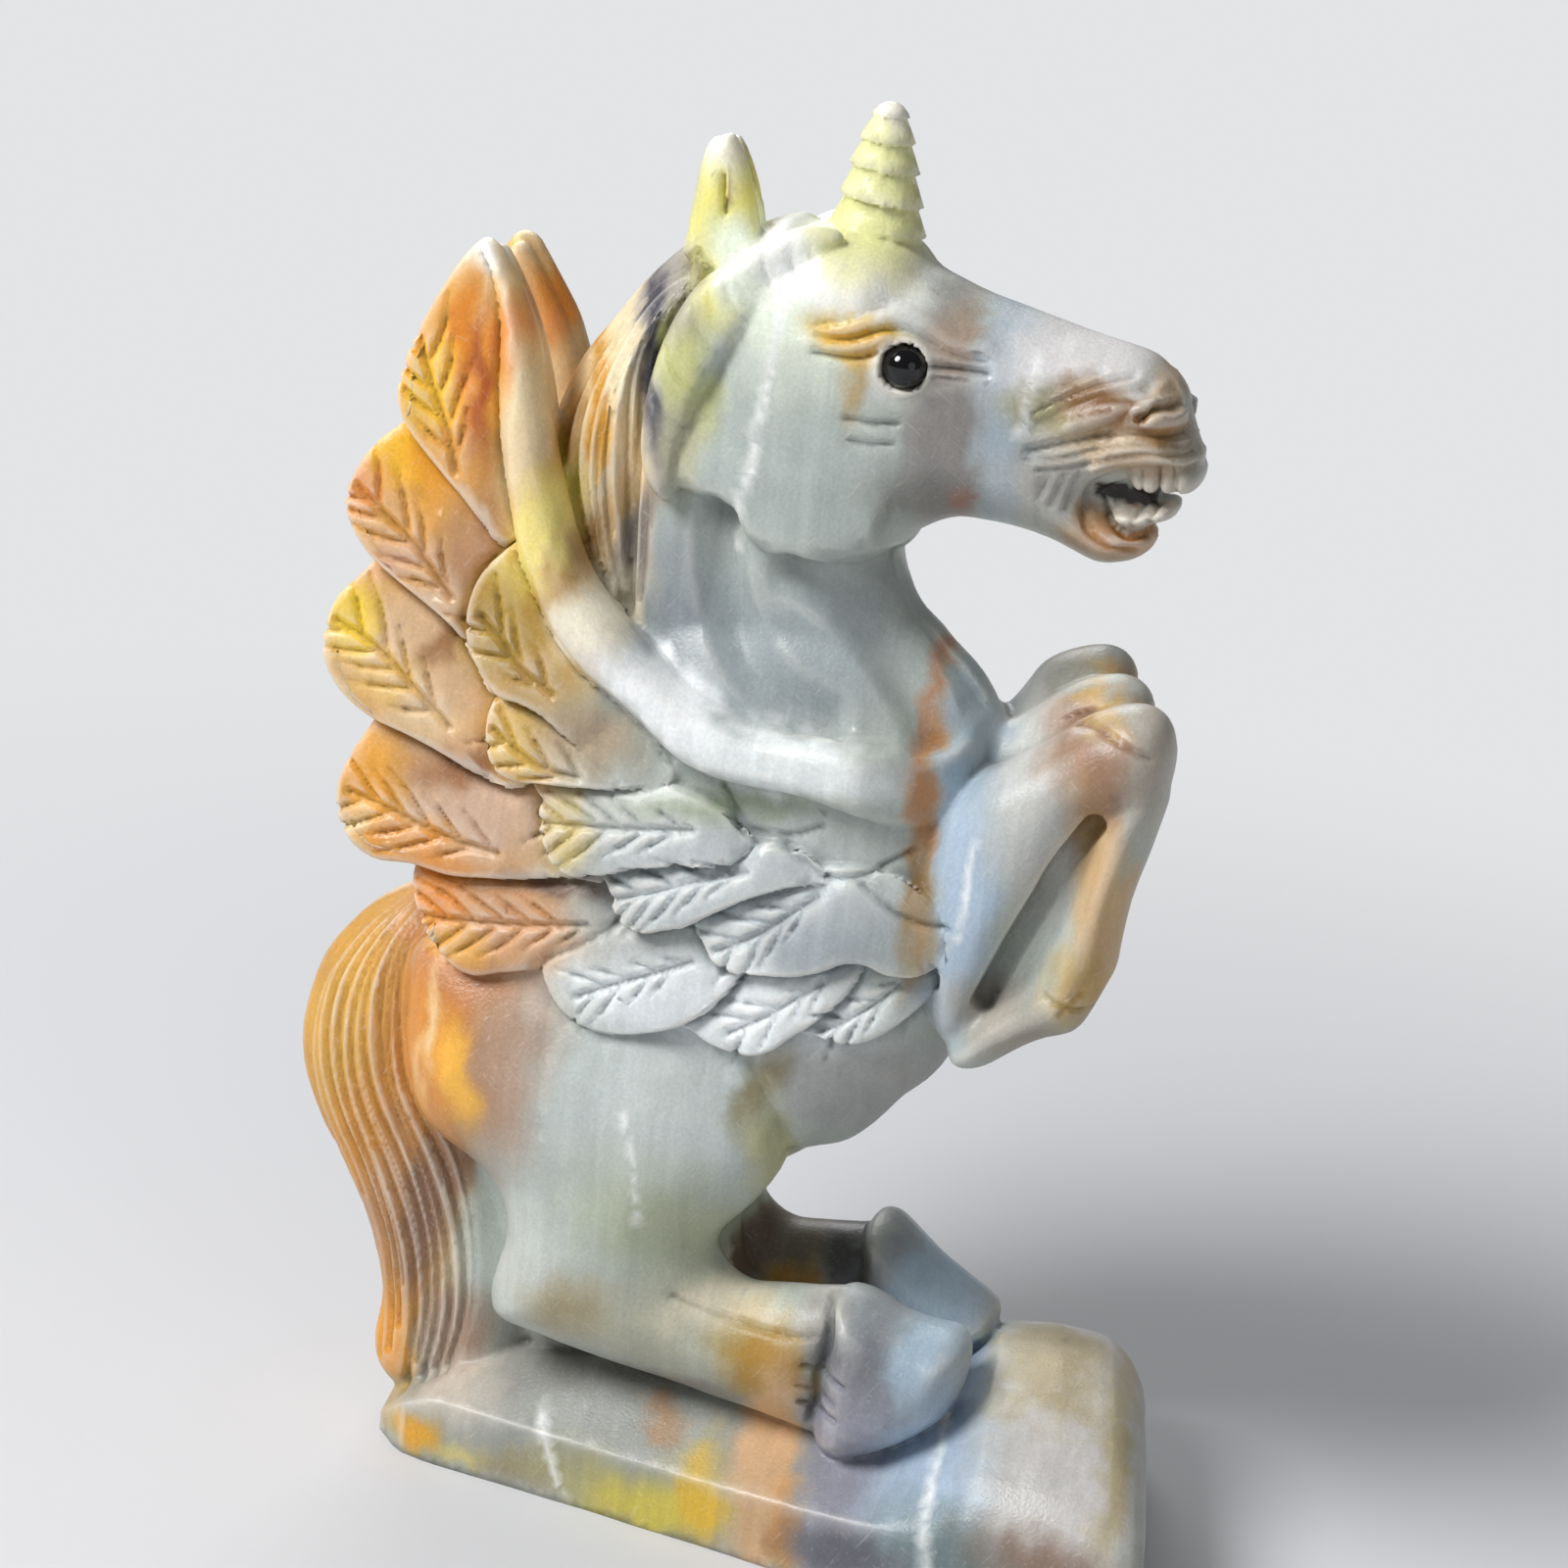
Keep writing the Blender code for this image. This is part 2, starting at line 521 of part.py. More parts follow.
COVERTS = {
    "a": (
        [(-25.9, 102), (-28, 100.2), (-29.6, 97.5), (-30.1, 93.5), (-29.2, 90.6), (-27.6, 88.5), (-26, 86.8),
         (-23.7, 86.3), (-21, 85.2), (-18, 83), (-14, 80.5), (-11, 84), (-16, 89), (-21, 94), (-24.5, 99)],
        [(-28.5, 94.6), (-26, 92.3), (-23.7, 89.8), (-20.5, 88)]),
    "b": (
        [(-26.4, 86.6), (-27.2, 84), (-26.9, 81.2), (-25.8, 79.3), (-23.8, 78.4), (-21, 78.5), (-16, 78.8),
         (-11, 79.5), (-8, 81), (-11, 85), (-16, 86.5), (-22, 87)],
        [(-26.3, 83.3), (-23.5, 81.6), (-20.7, 80.3), (-17, 79.9)]),
    "c": (
        [(-22.7, 78.6), (-21.3, 76.8), (-21, 74.3), (-20.1, 72), (-18.9, 70.3), (-17, 69.5), (-14.4, 70),
         (-11, 71.2), (-7, 72.3), (-1, 73.6), (1, 76), (-3, 79), (-9, 80.4), (-16, 79.6)],
        [(-21.3, 74.4), (-16.5, 74.9), (-11.5, 75.5), (-5, 76.6)]),
    "d": (
        [(-14.4, 70.2), (-13.2, 68.6), (-12.4, 66.6), (-11, 65.3), (-9, 65), (-6.8, 65.7), (-5, 66.3),
         (-2.3, 68.2), (1.5, 70.5), (5.5, 72.4), (9, 73.5), (6, 76), (0, 75.6), (-6, 73.6)],
        [(-12.5, 67.8), (-8.5, 69.3), (-4.5, 71.3), (0.8, 73.4)]),
    "e": (
        [(-4.6, 66.6), (-3, 64.7), (-1.7, 63), (0.3, 62.4), (3.5, 62.8), (7, 63.5), (9.5, 64.5), (11.6, 65.7),
         (13.6, 66), (16, 65.2), (19, 65.2), (21, 67), (20, 71.5), (15, 75), (9, 75), (3, 72.4), (-1.5, 69)],
        [(-1.6, 64.3), (2, 66.5), (5, 69), (8, 72)]),
}
LOWER_ROW = {
    "f": (
        [(-19.8, 58.6), (-19, 56.2), (-17.4, 54.5), (-15.2, 53.5), (-12.5, 53.2), (-9.8, 53.5), (-6.5, 54.6),
         (-3.5, 56.3), (0, 60), (2, 64), (-3, 67.5), (-10, 66), (-15.5, 61.8)],
        [(-15.7, 56.4), (-11.5, 58.7), (-7.5, 60.7), (-4, 62.5)]),
    "g": (
        [(-6.3, 55), (-3.5, 54.9), (-1.3, 54), (1, 53.7), (3.3, 53.9), (5.3, 55), (6.8, 56.5), (8.5, 57.8),
         (12, 62), (13, 66), (6, 67), (0, 62.5), (-4, 57.8)],
        [(0.5, 55.8), (4, 58.2), (6.7, 60.5), (9.5, 63)]),
    "h": (
        [(6.8, 56.8), (9, 57), (11.3, 56.7), (13.6, 57), (15.6, 58), (17.5, 59.6), (19.5, 62), (20.8, 65),
         (17, 68), (12, 66), (9, 61)],
        [(9.7, 57.8), (12.7, 59.7), (15.2, 61.6), (17, 63.7)]),
}

# Hair: the back and front lines that the strands run between
MANE_BACK = [(-12, 132), (-17.5, 128), (-22, 121.5), (-25, 114.5), (-25.6, 108), (-24, 102.5), (-21, 98)]
MANE_FRONT = [(-10.5, 130), (-13, 126.5), (-14.6, 120), (-14, 113), (-13.8, 106), (-14, 99), (-14.8, 95)]
MANE_STRANDS = 8
TAIL_BACK = [(-37, 62), (-44, 56), (-48, 49.5), (-49, 42.5), (-47.8, 35), (-44.6, 28.5), (-41.4, 21), (-39.8, 13),
             (-38.6, 5)]
TAIL_FRONT = [(-33.5, 64), (-36, 54), (-35.5, 47), (-34, 40), (-29.5, 32), (-26.8, 24), (-26, 15), (-28.5, 5)]
TAIL_STRANDS = 9


def flank(x, z):
    """How far the horse's side stands from the middle plane, where the wing lies on it."""
    chest = CHEST_ROUNDING * np.maximum(x - 8.0, 0.0) ** 2
    top = (FLANK - WING_TIP_SIDE) * np.clip((z - WING_LEAVES_Z) / WING_RISE, 0.0, 1.0)
    return FLANK - chest - top


def feather(outline, lift, midrib):
    """One feather: a thin leaf lying on the flank, its lower edge standing a little proud."""
    rib = np.array(midrib)
    along = rib[0] - rib[-1]
    along /= np.linalg.norm(along)
    down = np.array([along[1], -along[0]])
    if down[1] > 0:
        down = -down
    centre = np.array(outline).mean(axis=0)

    def middle(x, z):
        proud = ((x - centre[0]) * down[0] + (z - centre[1]) * down[1]) * FEATHER_TILT
        return -(flank(x, z) + lift + proud - FEATHER_HALF)

    return slab(outline, middle, FEATHER_HALF, FEATHER_EDGE, cell=1.0)


def wing():
    """The near wing: blade, quills, coverts and the smooth band along its leading edge."""
    parts = [slab(BLADE, lambda x, z: -(flank(x, z) - BLADE_HALF - BLADE_SINK), BLADE_HALF, BLADE_EDGE)]
    for outline, midrib in QUILLS.values():
        parts.append(feather(outline, QUILL_LIFT, midrib))
    for outline, midrib in COVERTS.values():
        parts.append(feather(outline, COVERT_LIFT, midrib))
    for outline, midrib in LOWER_ROW.values():
        parts.append(feather(outline, LOWER_ROW_LIFT, midrib))
    band_half = along_z(*BAND_HALVES)

    def band_middle(x, z):
        lift = BAND_LIFT * np.clip((BAND_LIFT_TOP - z) / BAND_LIFT_RUN, 0.3, 1.0)
        return -(flank(x, z) + lift - band_half(x, z))

    parts.append(slab(BAND, band_middle, band_half, BAND_EDGE))
    return parts


def far_wing_shift(points):
    """The far wing's tips stand further back and a little lower."""
    rise = np.clip((points[:, 2] - WING_LEAVES_Z) / WING_RISE, 0.0, 1.0)
    return np.stack([-FAR_WING_BACK * rise, 0 * rise, -FAR_WING_DROP * rise], axis=1)


def rock():
    """The rock: arched sections, flat underneath, narrow behind and wide in front."""
    xs, halves, tops, sides = np.array(ROCK).T
    line = np.linspace(xs[0], xs[-1], ROCK_SECTIONS)
    half, top, side = np.interp(line, xs, halves), np.interp(line, xs, tops), np.interp(line, xs, sides)
    count = ROCK_SECTION_POINTS
    points = []
    for x, w, h, s in zip(line, half, top, side):
        points.append((x, -w, -ROCK_BELOW))
        arch = np.clip((x - ARCH_FROM) / ARCH_RUN, 0.0, 1.0)
        for k in range(count):
            a = math.pi * k / (count - 1)
            slope = min(1.0, SIDE_SLOPE * (1.0 - abs(math.cos(a))))
            rise = (1 - arch) * slope + arch * math.sin(a)
            points.append((x, -w * math.cos(a), s + (h - s) * rise))
        points.append((x, w, -ROCK_BELOW))
    ring = count + 2
    tris = []
    for r in range(len(line) - 1):
        for k in range(ring):
            a, b = r * ring + k, r * ring + (k + 1) % ring
            tris.extend([(a, b, a + ring), (b, b + ring, a + ring)])
    for k in range(1, ring - 1):
        tris.append((0, k + 1, k))
        last = (len(line) - 1) * ring
        tris.append((last, last + k, last + k + 1))
    points = np.array(points)
    points[:, 0] -= ROCK_SLANT * points[:, 1] * np.clip(points[:, 0] / SLANT_RUN, 0.0, 1.0)
    return points, tris


def horn():
    """A straight tapering horn with slanting rings, each with a small ledge."""
    foot, tip = np.array(HORN_FOOT), np.array(HORN_TIP)
    stations = []
    steps = ROWS_PER_RING * HORN_RINGS
    for k in range(steps + 1):
        t = k / steps
        saw = (t * HORN_RINGS) % 1.0
        radius = HORN_TIP_R + (HORN_FOOT_R - HORN_TIP_R) * (1 - t) ** HORN_BULGE
        radius += RING_STEP * (0.5 - saw) * (1 - 0.5 * t)
        place = foot + (tip - foot) * t
        stations.append((place[0], place[1], place[2], radius, radius))
    points, tris = rope(stations, sides=HORN_SIDES, steps=1)
    tilt = RING_TILT * np.clip((tip[2] - points[:, 2]) / RING_TILT_RUN, 0, 1)
    points[:, 2] -= (points[:, 0] - foot[0]) * tilt
    return points, tris


def rough_masses():
    """The masses that are rubbed into each other."""
    head_half = along_x((-12, NAPE_HALF), (0, CHEEK_HALF - 0.3), (6, CHEEK_HALF - 0.5), (11, EYE_HALF),
                        (18, NOSE_ROOT_HALF), (25, NOSE_HALF), (32, NOSE_HALF), (38, LIP_HALF))
    thigh_by_x = along_x((-36, THIGH_HALF), (-8, THIGH_HALF), (0, KNEE_HALF), (15, SHANK_HALF))
    thigh_by_z = along_z((46, 1.0), (58, 0.45))
    hind = slab(THIGH, -HIND_LEG_Y, lambda x, z: thigh_by_x(x, z) * thigh_by_z(x, z), THIGH_EDGE)
    arm_half = along_x((12, SHOULDER_HALF), (24, FORELEG_HALF))
    arm = slab(ARM, along_x((12, -SHOULDER_Y), (24, -FORELEG_Y)), arm_half, ARM_EDGE)
    cannon = slab(CANNON, -FORELEG_Y, CANNON_HALF, CANNON_EDGE)
    slot_floor = slab(SLOT_FLOOR, -SLOT_FLOOR_Y, SLOT_FLOOR_HALF, SLOT_FLOOR_EDGE)

    def far_leg(points):
        reach = np.clip((points[:, 0] - FAR_LEG_FROM) / FAR_LEG_RUN, 0.0, 1.0)
        return np.stack([-FAR_LEG_BACK * reach, 0 * reach, FAR_LEG_RISE * reach], axis=1)

    return [
        slab(TORSO, 0.0, CHEST_HALF, TORSO_EDGE),
        slab(NECK, 0.0, NECK_HALF, NECK_EDGE),
        slab(HEAD, 0.0, head_half, HEAD_EDGE),
        hind, mirrored(hind),
        slab(TAIL, 0.0, TAIL_HALF, TAIL_EDGE),
        arm, mirrored(arm, far_leg),
        cannon, mirrored(cannon, far_leg),
        slab(CORE, 0.0, CORE_HALF, CORE_EDGE),
        slot_floor, mirrored(slot_floor, far_leg),
        slab([(x - WEB_BACK, z + WEB_RISE) for x, z in ARM], 0.0, WEB_HALF, WEB_EDGE),
        slab([(x - WEB_BACK, z + WEB_RISE) for x, z in CANNON], 0.0, WEB_HALF, WEB_EDGE),
    ]


def crisp_masses():
    """The parts with clear edges, laid on the rubbed masses."""
    near = wing()
    hoof = slab(HIND_HOOF, -HIND_LEG_Y, HOOF_HALF, HOOF_EDGE)
    far_hoof = slab(FAR_HIND_HOOF, HIND_LEG_Y, HOOF_HALF, FAR_HOOF_EDGE)
    ear = slab(EAR, -EAR_Y, EAR_HALF, EAR_HALF, cell=0.8)
    lock_side = along_x((-15, -LOCK_LOW_Y), (-8, -LOCK_MIDDLE_Y), (2, -LOCK_TOP_Y))
    lock = slab(LOCK, lock_side, LOCK_HALF, LOCK_EDGE, cell=0.9)
    mane = slab(MANE, 0.0, MANE_HALF + MANE_PROUD, MANE_EDGE)

    def cheek_half(x, z):
        top = CHEEK_TOP_FALL * np.clip((z - 112) / 14, 0, 1)
        return CHEEK_HALF - top - CHEEK_FRONT_FALL * np.clip((x - 3) / 8, 0, 1)

    cheek = slab(CHEEK, 0.0, cheek_half, CHEEK_EDGE)
    upper_lip = slab(UPPER_LIP, 0.0, NOSE_HALF + LIP_PROUD, LIP_EDGE)
    parts = [mane, cheek, upper_lip, hoof, far_hoof, ear, horn(), lock, mirrored(lock), rock()]
    parts.append(mirrored(ear, lambda p: np.full(p.shape, 1.0) * np.array(FAR_EAR_SHIFT)))
    parts.extend(near)
    parts.extend(mirrored(piece, far_wing_shift) for piece in near)
    return parts


# Cut lines
def between(first, second, share):
    """A line part of the way from one guide line to another."""
    a, b = curve(first, closed=False, steps=6), curve(second, closed=False, steps=6)
    rows = np.linspace(0, 1, 40)
    at = [np.stack([np.interp(rows, np.linspace(0, 1, len(c)), c[:, i]) for i in (0, 1)], axis=1) for c in (a, b)]
    return at[0] * (1 - share) + at[1] * share


def engrave(item, cuts):
    """Press V-shaped cuts into the skin. Each cut: line in X and Z, half width, depth, side (-1 near, 1 far)."""
    points, normals = read_points(item), read_normals(item)
    depth = np.zeros(len(points))
    for line, width, deep, side, low_y, high_y in cuts:
        line = np.array(line)
        low, high = line.min(axis=0) - width, line.max(axis=0) + width
        across = points[:, 1] * side
        near = (across > low_y) & (across < high_y) & (normals[:, 1] * side > 0.1)
        near &= (points[:, 0] > low[0]) & (points[:, 0] < high[0])
        near &= (points[:, 2] > low[1]) & (points[:, 2] < high[1])
        index = np.nonzero(near)[0]
        if len(index):
            away = distance(points[index][:, [0, 2]], line, closed=False)
            cut = deep * np.clip(1.0 - away / width, 0.0, 1.0) ** 1.2
            depth[index] = np.maximum(depth[index], cut)
    write_points(item, points - normals * depth[:, None])


def cut_lines():
    """Every line cut into the stone."""
    cuts = []
    for row in (QUILLS, COVERTS, LOWER_ROW):
        for outline, midrib in row.values():
            line = curve(midrib, closed=False, steps=4)
            cuts.extend((line, RIB_CUT_HALF, RIB_CUT_DEPTH, side, WING_INNER_SIDE, FLANK + 10.0) for side in (-1, 1))
    for side in (-1, 1):
        for k in range(1, MANE_STRANDS):
            line = between(MANE_BACK, MANE_FRONT, k / MANE_STRANDS)
            cuts.append((line, HAIR_CUT_HALF, HAIR_CUT_DEPTH, side, 0.0, MANE_HALF + 2.5))
        for k in range(TAIL_STRANDS):
            line = between(TAIL_BACK, TAIL_FRONT, (k + 0.4) / TAIL_STRANDS)
            cuts.append((line, HAIR_CUT_HALF, HAIR_CUT_DEPTH, side, 0.0, TAIL_HALF + 1.5))
    return cuts


# Materials
def stone_material():
    material = bpy.data.materials.new("banded_stone")
    material.use_nodes = True
    shader = material.node_tree.nodes["Principled BSDF"]
    shader.inputs["Base Color"].default_value = (0.50, 0.51, 0.44, 1.0)
    shader.inputs["Roughness"].default_value = 0.38
    shader.inputs["Metallic"].default_value = 0.0
    return material


def bead_material():
    material = bpy.data.materials.new("black_bead")
    material.use_nodes = True
    shader = material.node_tree.nodes["Principled BSDF"]
    shader.inputs["Base Color"].default_value = (0.008, 0.008, 0.010, 1.0)
    shader.inputs["Roughness"].default_value = 0.05
    shader.inputs["Metallic"].default_value = 0.0
    return material


def ball(name, centre, radius):
    """A ball with its poles across the figure."""
    work = bmesh.new()
    bmesh.ops.create_uvsphere(work, u_segments=BEAD_SEGMENTS, v_segments=BEAD_RINGS, radius=radius * MM)
    mesh = bpy.data.meshes.new(name)
    work.to_mesh(mesh)
    work.free()
    item = bpy.data.objects.new(name, mesh)
    item.rotation_euler = (math.radians(90), 0, 0)
    item.location = [c * MM for c in centre]
    bpy.context.scene.collection.objects.link(item)
    return item


def carve_stone():
    """The whole stone, from rough masses to cut lines, then thinned to its triangle budget."""
    rubbed = mesh_object("rubbed", rough_masses())
    fuse(rubbed, ROUGH_VOXEL, ROUGH_RUBS)
    stone = mesh_object("stone_carving", crisp_masses() + [as_shape(rubbed)])
    fuse(stone, FINE_VOXEL, FINE_RUBS)
    engrave(stone, cut_lines())
    thin = stone.modifiers.new("Thin", "DECIMATE")
    stone.data.calc_loop_triangles()
    thin.ratio = STONE_TRIANGLES / len(stone.data.loop_triangles)
    settle(stone)
    return stone


def cut_away(stone, cutter):
    """Cut one closed object out of the stone."""
    cutter.hide_render = True
    cutter.display_type = "WIRE"
    cut = stone.modifiers.new("Cut", "BOOLEAN")
    cut.operation = "DIFFERENCE"
    cut.solver = "EXACT"
    cut.object = cutter
    settle(stone)
    bpy.data.objects.remove(cutter)


def saw_flat(stone):
    """Saw the underside off level with the floor."""
    work = bmesh.new()
    bmesh.ops.create_cube(work, size=1.0)
    bmesh.ops.scale(work, vec=(SAW_ALONG * MM, SAW_ACROSS * MM, 2 * SAW_DEPTH * MM), verts=work.verts)
    bmesh.ops.translate(work, vec=(0, 0, -SAW_DEPTH * MM), verts=work.verts)
    mesh = bpy.data.meshes.new("saw")
    work.to_mesh(mesh)
    work.free()
    saw = bpy.data.objects.new("saw", mesh)
    bpy.context.scene.collection.objects.link(saw)
    cut_away(stone, saw)


def set_eye(stone, name, side):
    """Drill a socket where the eye meets the head's side, and set a bead in it."""
    graph = bpy.context.evaluated_depsgraph_get()
    skin = BVHTree.FromObject(stone, graph)
    start = Vector((EYE_AT[0], side * BESIDE_THE_HEAD, EYE_AT[1])) * MM
    hit = skin.ray_cast(start, Vector((0, -side, 0)))[0]
    deep = hit.y / MM - side * (BEAD_R - BEAD_SHOWS)
    centre = (EYE_AT[0], deep, EYE_AT[1])
    cut_away(stone, ball("socket_cutter", centre, BEAD_R + SOCKET_GAP))
    bead = ball(name, centre, BEAD_R)
    bead.data.materials.append(bead_material())
    bead.data.shade_smooth()
    return bead


def main():
    for item in list(bpy.data.objects):
        bpy.data.objects.remove(item)
    stone = carve_stone()
    saw_flat(stone)
    beads = [set_eye(stone, "eye_right", -1), set_eye(stone, "eye_left", 1)]
    stone.data.materials.clear()
    stone.data.materials.append(stone_material())
    stone.data.shade_smooth()
    points = read_points(stone)
    middle = (points[:, 0].min() + points[:, 0].max()) / 2
    for item in [stone] + beads:
        item.location.x -= middle * MM


main()
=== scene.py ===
"""The looks of a carved stone winged unicorn on a rock: the stone worked finely, its colours and eyes.

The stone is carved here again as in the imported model, from the same masses, but far more finely, with the
barbs of the feathers, the strands of the hair and the creases of the face cut into it. Lengths of the
carving are millimetres, with the horse facing +X, its right side at -Y and Z up.
"""
import math
import random

import bmesh
import bpy
import numpy as np
from mathutils import Matrix, Vector, noise
from mathutils.geometry import delaunay_2d_cdt


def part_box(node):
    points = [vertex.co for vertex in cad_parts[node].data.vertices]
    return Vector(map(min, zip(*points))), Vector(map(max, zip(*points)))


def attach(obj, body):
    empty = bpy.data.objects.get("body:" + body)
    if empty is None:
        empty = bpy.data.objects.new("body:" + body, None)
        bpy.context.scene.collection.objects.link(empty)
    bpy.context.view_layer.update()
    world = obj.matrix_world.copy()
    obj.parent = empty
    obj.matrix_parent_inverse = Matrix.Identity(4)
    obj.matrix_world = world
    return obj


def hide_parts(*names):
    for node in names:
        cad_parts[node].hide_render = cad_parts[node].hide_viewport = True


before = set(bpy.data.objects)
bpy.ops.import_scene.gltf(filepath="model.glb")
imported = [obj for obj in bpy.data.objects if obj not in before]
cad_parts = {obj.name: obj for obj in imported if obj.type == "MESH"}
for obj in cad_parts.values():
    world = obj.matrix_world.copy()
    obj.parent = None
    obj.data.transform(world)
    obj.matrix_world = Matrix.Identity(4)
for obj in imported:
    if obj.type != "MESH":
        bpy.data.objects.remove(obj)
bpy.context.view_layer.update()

MM = 0.001

# Half widths across the figure, from its middle plane to its side
CHEST_HALF = 12.8
NECK_HALF = 9.5
MANE_HALF = 9.0
CHEEK_HALF = 12.3
EYE_HALF = 10.6
NOSE_HALF = 7.6
LIP_HALF = 6.6
HEAD_EDGE = 6.5
TAIL_HALF = 7.5
THIGH_HALF = 8.2
FORELEG_HALF = 6.2
HOOF_HALF = 6.6
EAR_HALF = 2.0

# Places across the figure
HIND_LEG_Y = 8.6
FORELEG_Y = 7.6
EAR_Y = 6.0

# The far foreleg stands further back and higher, from where it leaves the chest
FAR_LEG_BACK = 6.5
FAR_LEG_RISE = 1.1
FAR_LEG_FROM = 14.0
FAR_LEG_RUN = 16.0

# The web of stone between the forelegs, and the floor of the slot in each
WEB_BACK = 3.4
WEB_RISE = 0.5
WEB_HALF = 4.6
SLOT_FLOOR_Y = 5.5
SLOT_FLOOR_HALF = 4.0

# Wings
FLANK = 12.8
CHEST_ROUNDING = 0.02
WING_TIP_SIDE = 12.2
WING_LEAVES_Z = 86.0
WING_RISE = 42.0
WING_INNER_SIDE = 6.0
FEATHER_HALF = 1.9
FEATHER_TILT = 0.16
BAND_HALVES = ((88, 4.8), (110, 3.6), (130, 2.6))
BAND_LIFT = 3.9
BAND_LIFT_TOP = 140.0
BAND_LIFT_RUN = 45.0
BAND_END_FROM = 11.0
BAND_END_RUN = 10.0
BAND_END_SINK = 5.2
COVERT_LIFT = 2.9
LOWER_ROW_LIFT = 1.7
QUILL_LIFT = 0.6
BLADE_HALF = 2.6
BLADE_SINK = 1.6
FAR_WING_BACK = 3.5
FAR_WING_DROP = 2.4

# Horn
HORN_FOOT = (3.6, 0.0, 133.6)
HORN_TIP = (3.6, 0.0, 147.8)
HORN_FOOT_R = 4.7
HORN_TIP_R = 0.8
HORN_LEDGES = (135.7, 138.4, 141.4, 144.0, 146.4)
RING_STEP = 0.8
RING_TILT = 0.12
RING_TILT_RUN = 8.0

# Rock: where along X, half width at the floor, height in the middle, height of the sawn side
ROCK = (
    (-35.5, 8.5, 3.5, 2.0),
    (-32.0, 12.3, 6.5, 5.5),
    (-28.0, 13.4, 9.5, 7.6),
    (-12.0, 15.2, 13.5, 7.2),
    (0.0, 16.8, 13.5, 7.2),
    (10.0, 18.4, 12.5, 7.6),
    (20.0, 20.2, 12.0, 8.0),
    (25.5, 21.2, 16.5, 8.0),
    (29.5, 22.0, 20.5, 8.0),
    (36.0, 23.2, 21.4, 7.0),
    (41.5, 24.2, 21.0, 6.0),
    (44.2, 24.6, 18.8, 5.5),
    (46.0, 24.0, 15.5, 5.0),
)

# Where along X the rock's section turns from a flat top with sloping sides into an arch
ARCH_FROM = 14.0
ARCH_RUN = 14.0
SIDE_SLOPE = 1.8

# How far the rock's front end is turned from square, and over what length
ROCK_SLANT = 0.2
SLANT_RUN = 40.0

# How much of the rock is sawn off below the floor
SAW_DEPTH = 3.0

# Eyes
EYE_AT = (10.0, 124.5)
BEAD_R = 2.1
BEAD_SHOWS = 1.35
SOCKET_GAP = 0.3
BEAD_SEGMENTS = 64
BEAD_RINGS = 32

# How finely the stone is worked
ROUGH_VOXEL = 0.6
FINE_VOXEL = 0.33
STONE_TRIANGLES = 125000
LONGEST_EDGE = 1.6

# Fine work
BARB_SPACING = 3.0
BARB_HALF = 0.48
BARB_DEPTH = 0.6
BARB_SEED = 5
QUILL_BARB = 5.8
COVERT_BARB = 5.0
LOWER_BARB = 4.0
LEAF_ROUND = 0.4
LEAF_FALL = 0.3
LEAF_FALL_WIDE = 2.2
VALLEY = 0.9
VALLEY_WIDE = 2.4
ROOT_RUN = 6.0
ROOT_SINK = 0.5
EYE_RIM = 2.45
RIM_HALF = 0.4
RIM_RISE = 0.3
SOCKET_FIT = 0.1
FLOOR_SNAP = 0.12
HOLLOW_ROUNDS = 24

# Stone: sizes in millimetres
STRATA_SWAY = 9.0
SWAY_BY = 1.4
MOTTLE = 3.0
MOTTLE_BY = 0.9
FRAY_ACROSS = 1.3
FRAY_ALONG = 5.0
FRAY_BY = 1.0
VEIN_WANDER = 0.25
STRATA_LEAN = 0.12
SHOW_SIDE = 10.0
BAND_MM = 1.2
CLOUD_MM = 6.0
GRAIN_MM = 0.35

# Camera and floor, in metres and degrees
CAMERA_YAW = 14.0
CAMERA_ROLL = 6.0
CAMERA_AWAY = 0.35
CAMERA_RISE = 0.112
FLOOR_REACH = 6.0

# Curves and outlines
def curve(points, closed=True, steps=5):
    """A smooth curve through the points, with points close together kept tight."""
    p = np.array(points, float)
    n = len(p)
    out = []
    for i in range(n if closed else n - 1):
        if closed:
            a, b, c, d = p[i - 1], p[i], p[(i + 1) % n], p[(i + 2) % n]
        else:
            b, c = p[i], p[i + 1]
            a = p[i - 1] if i else 2 * b - c
            d = p[i + 2] if i + 2 < n else 2 * c - b
        gaps = [max(float(np.linalg.norm(v)), 1e-6) ** 0.5 for v in (b - a, c - b, d - c)]
        t0, t1, t2, t3 = 0.0, gaps[0], gaps[0] + gaps[1], sum(gaps)
        for s in range(steps):
            t = t1 + (t2 - t1) * s / steps
            a1 = (t1 - t) / (t1 - t0) * a + (t - t0) / (t1 - t0) * b
            a2 = (t2 - t) / (t2 - t1) * b + (t - t1) / (t2 - t1) * c
            a3 = (t3 - t) / (t3 - t2) * c + (t - t2) / (t3 - t2) * d
            b1 = (t2 - t) / (t2 - t0) * a1 + (t - t0) / (t2 - t0) * a2
            b2 = (t3 - t) / (t3 - t1) * a2 + (t - t1) / (t3 - t1) * a3
            out.append((t2 - t) / (t2 - t1) * b1 + (t - t1) / (t2 - t1) * b2)
    if not closed:
        out.append(p[-1])
    return np.array(out)


def distance(points, line, closed=True):
    """How far each flat point is from a line of points."""
    ends = np.roll(line, -1, axis=0) if closed else line[1:]
    starts = line if closed else line[:-1]
    best = np.full(len(points), 1e9)
    for a, b in zip(starts, ends):
        along = b - a
        t = np.clip(((points - a) @ along) / max(float(along @ along), 1e-12), 0.0, 1.0)
        best = np.minimum(best, np.linalg.norm(points - a - t[:, None] * along, axis=1))
    return best


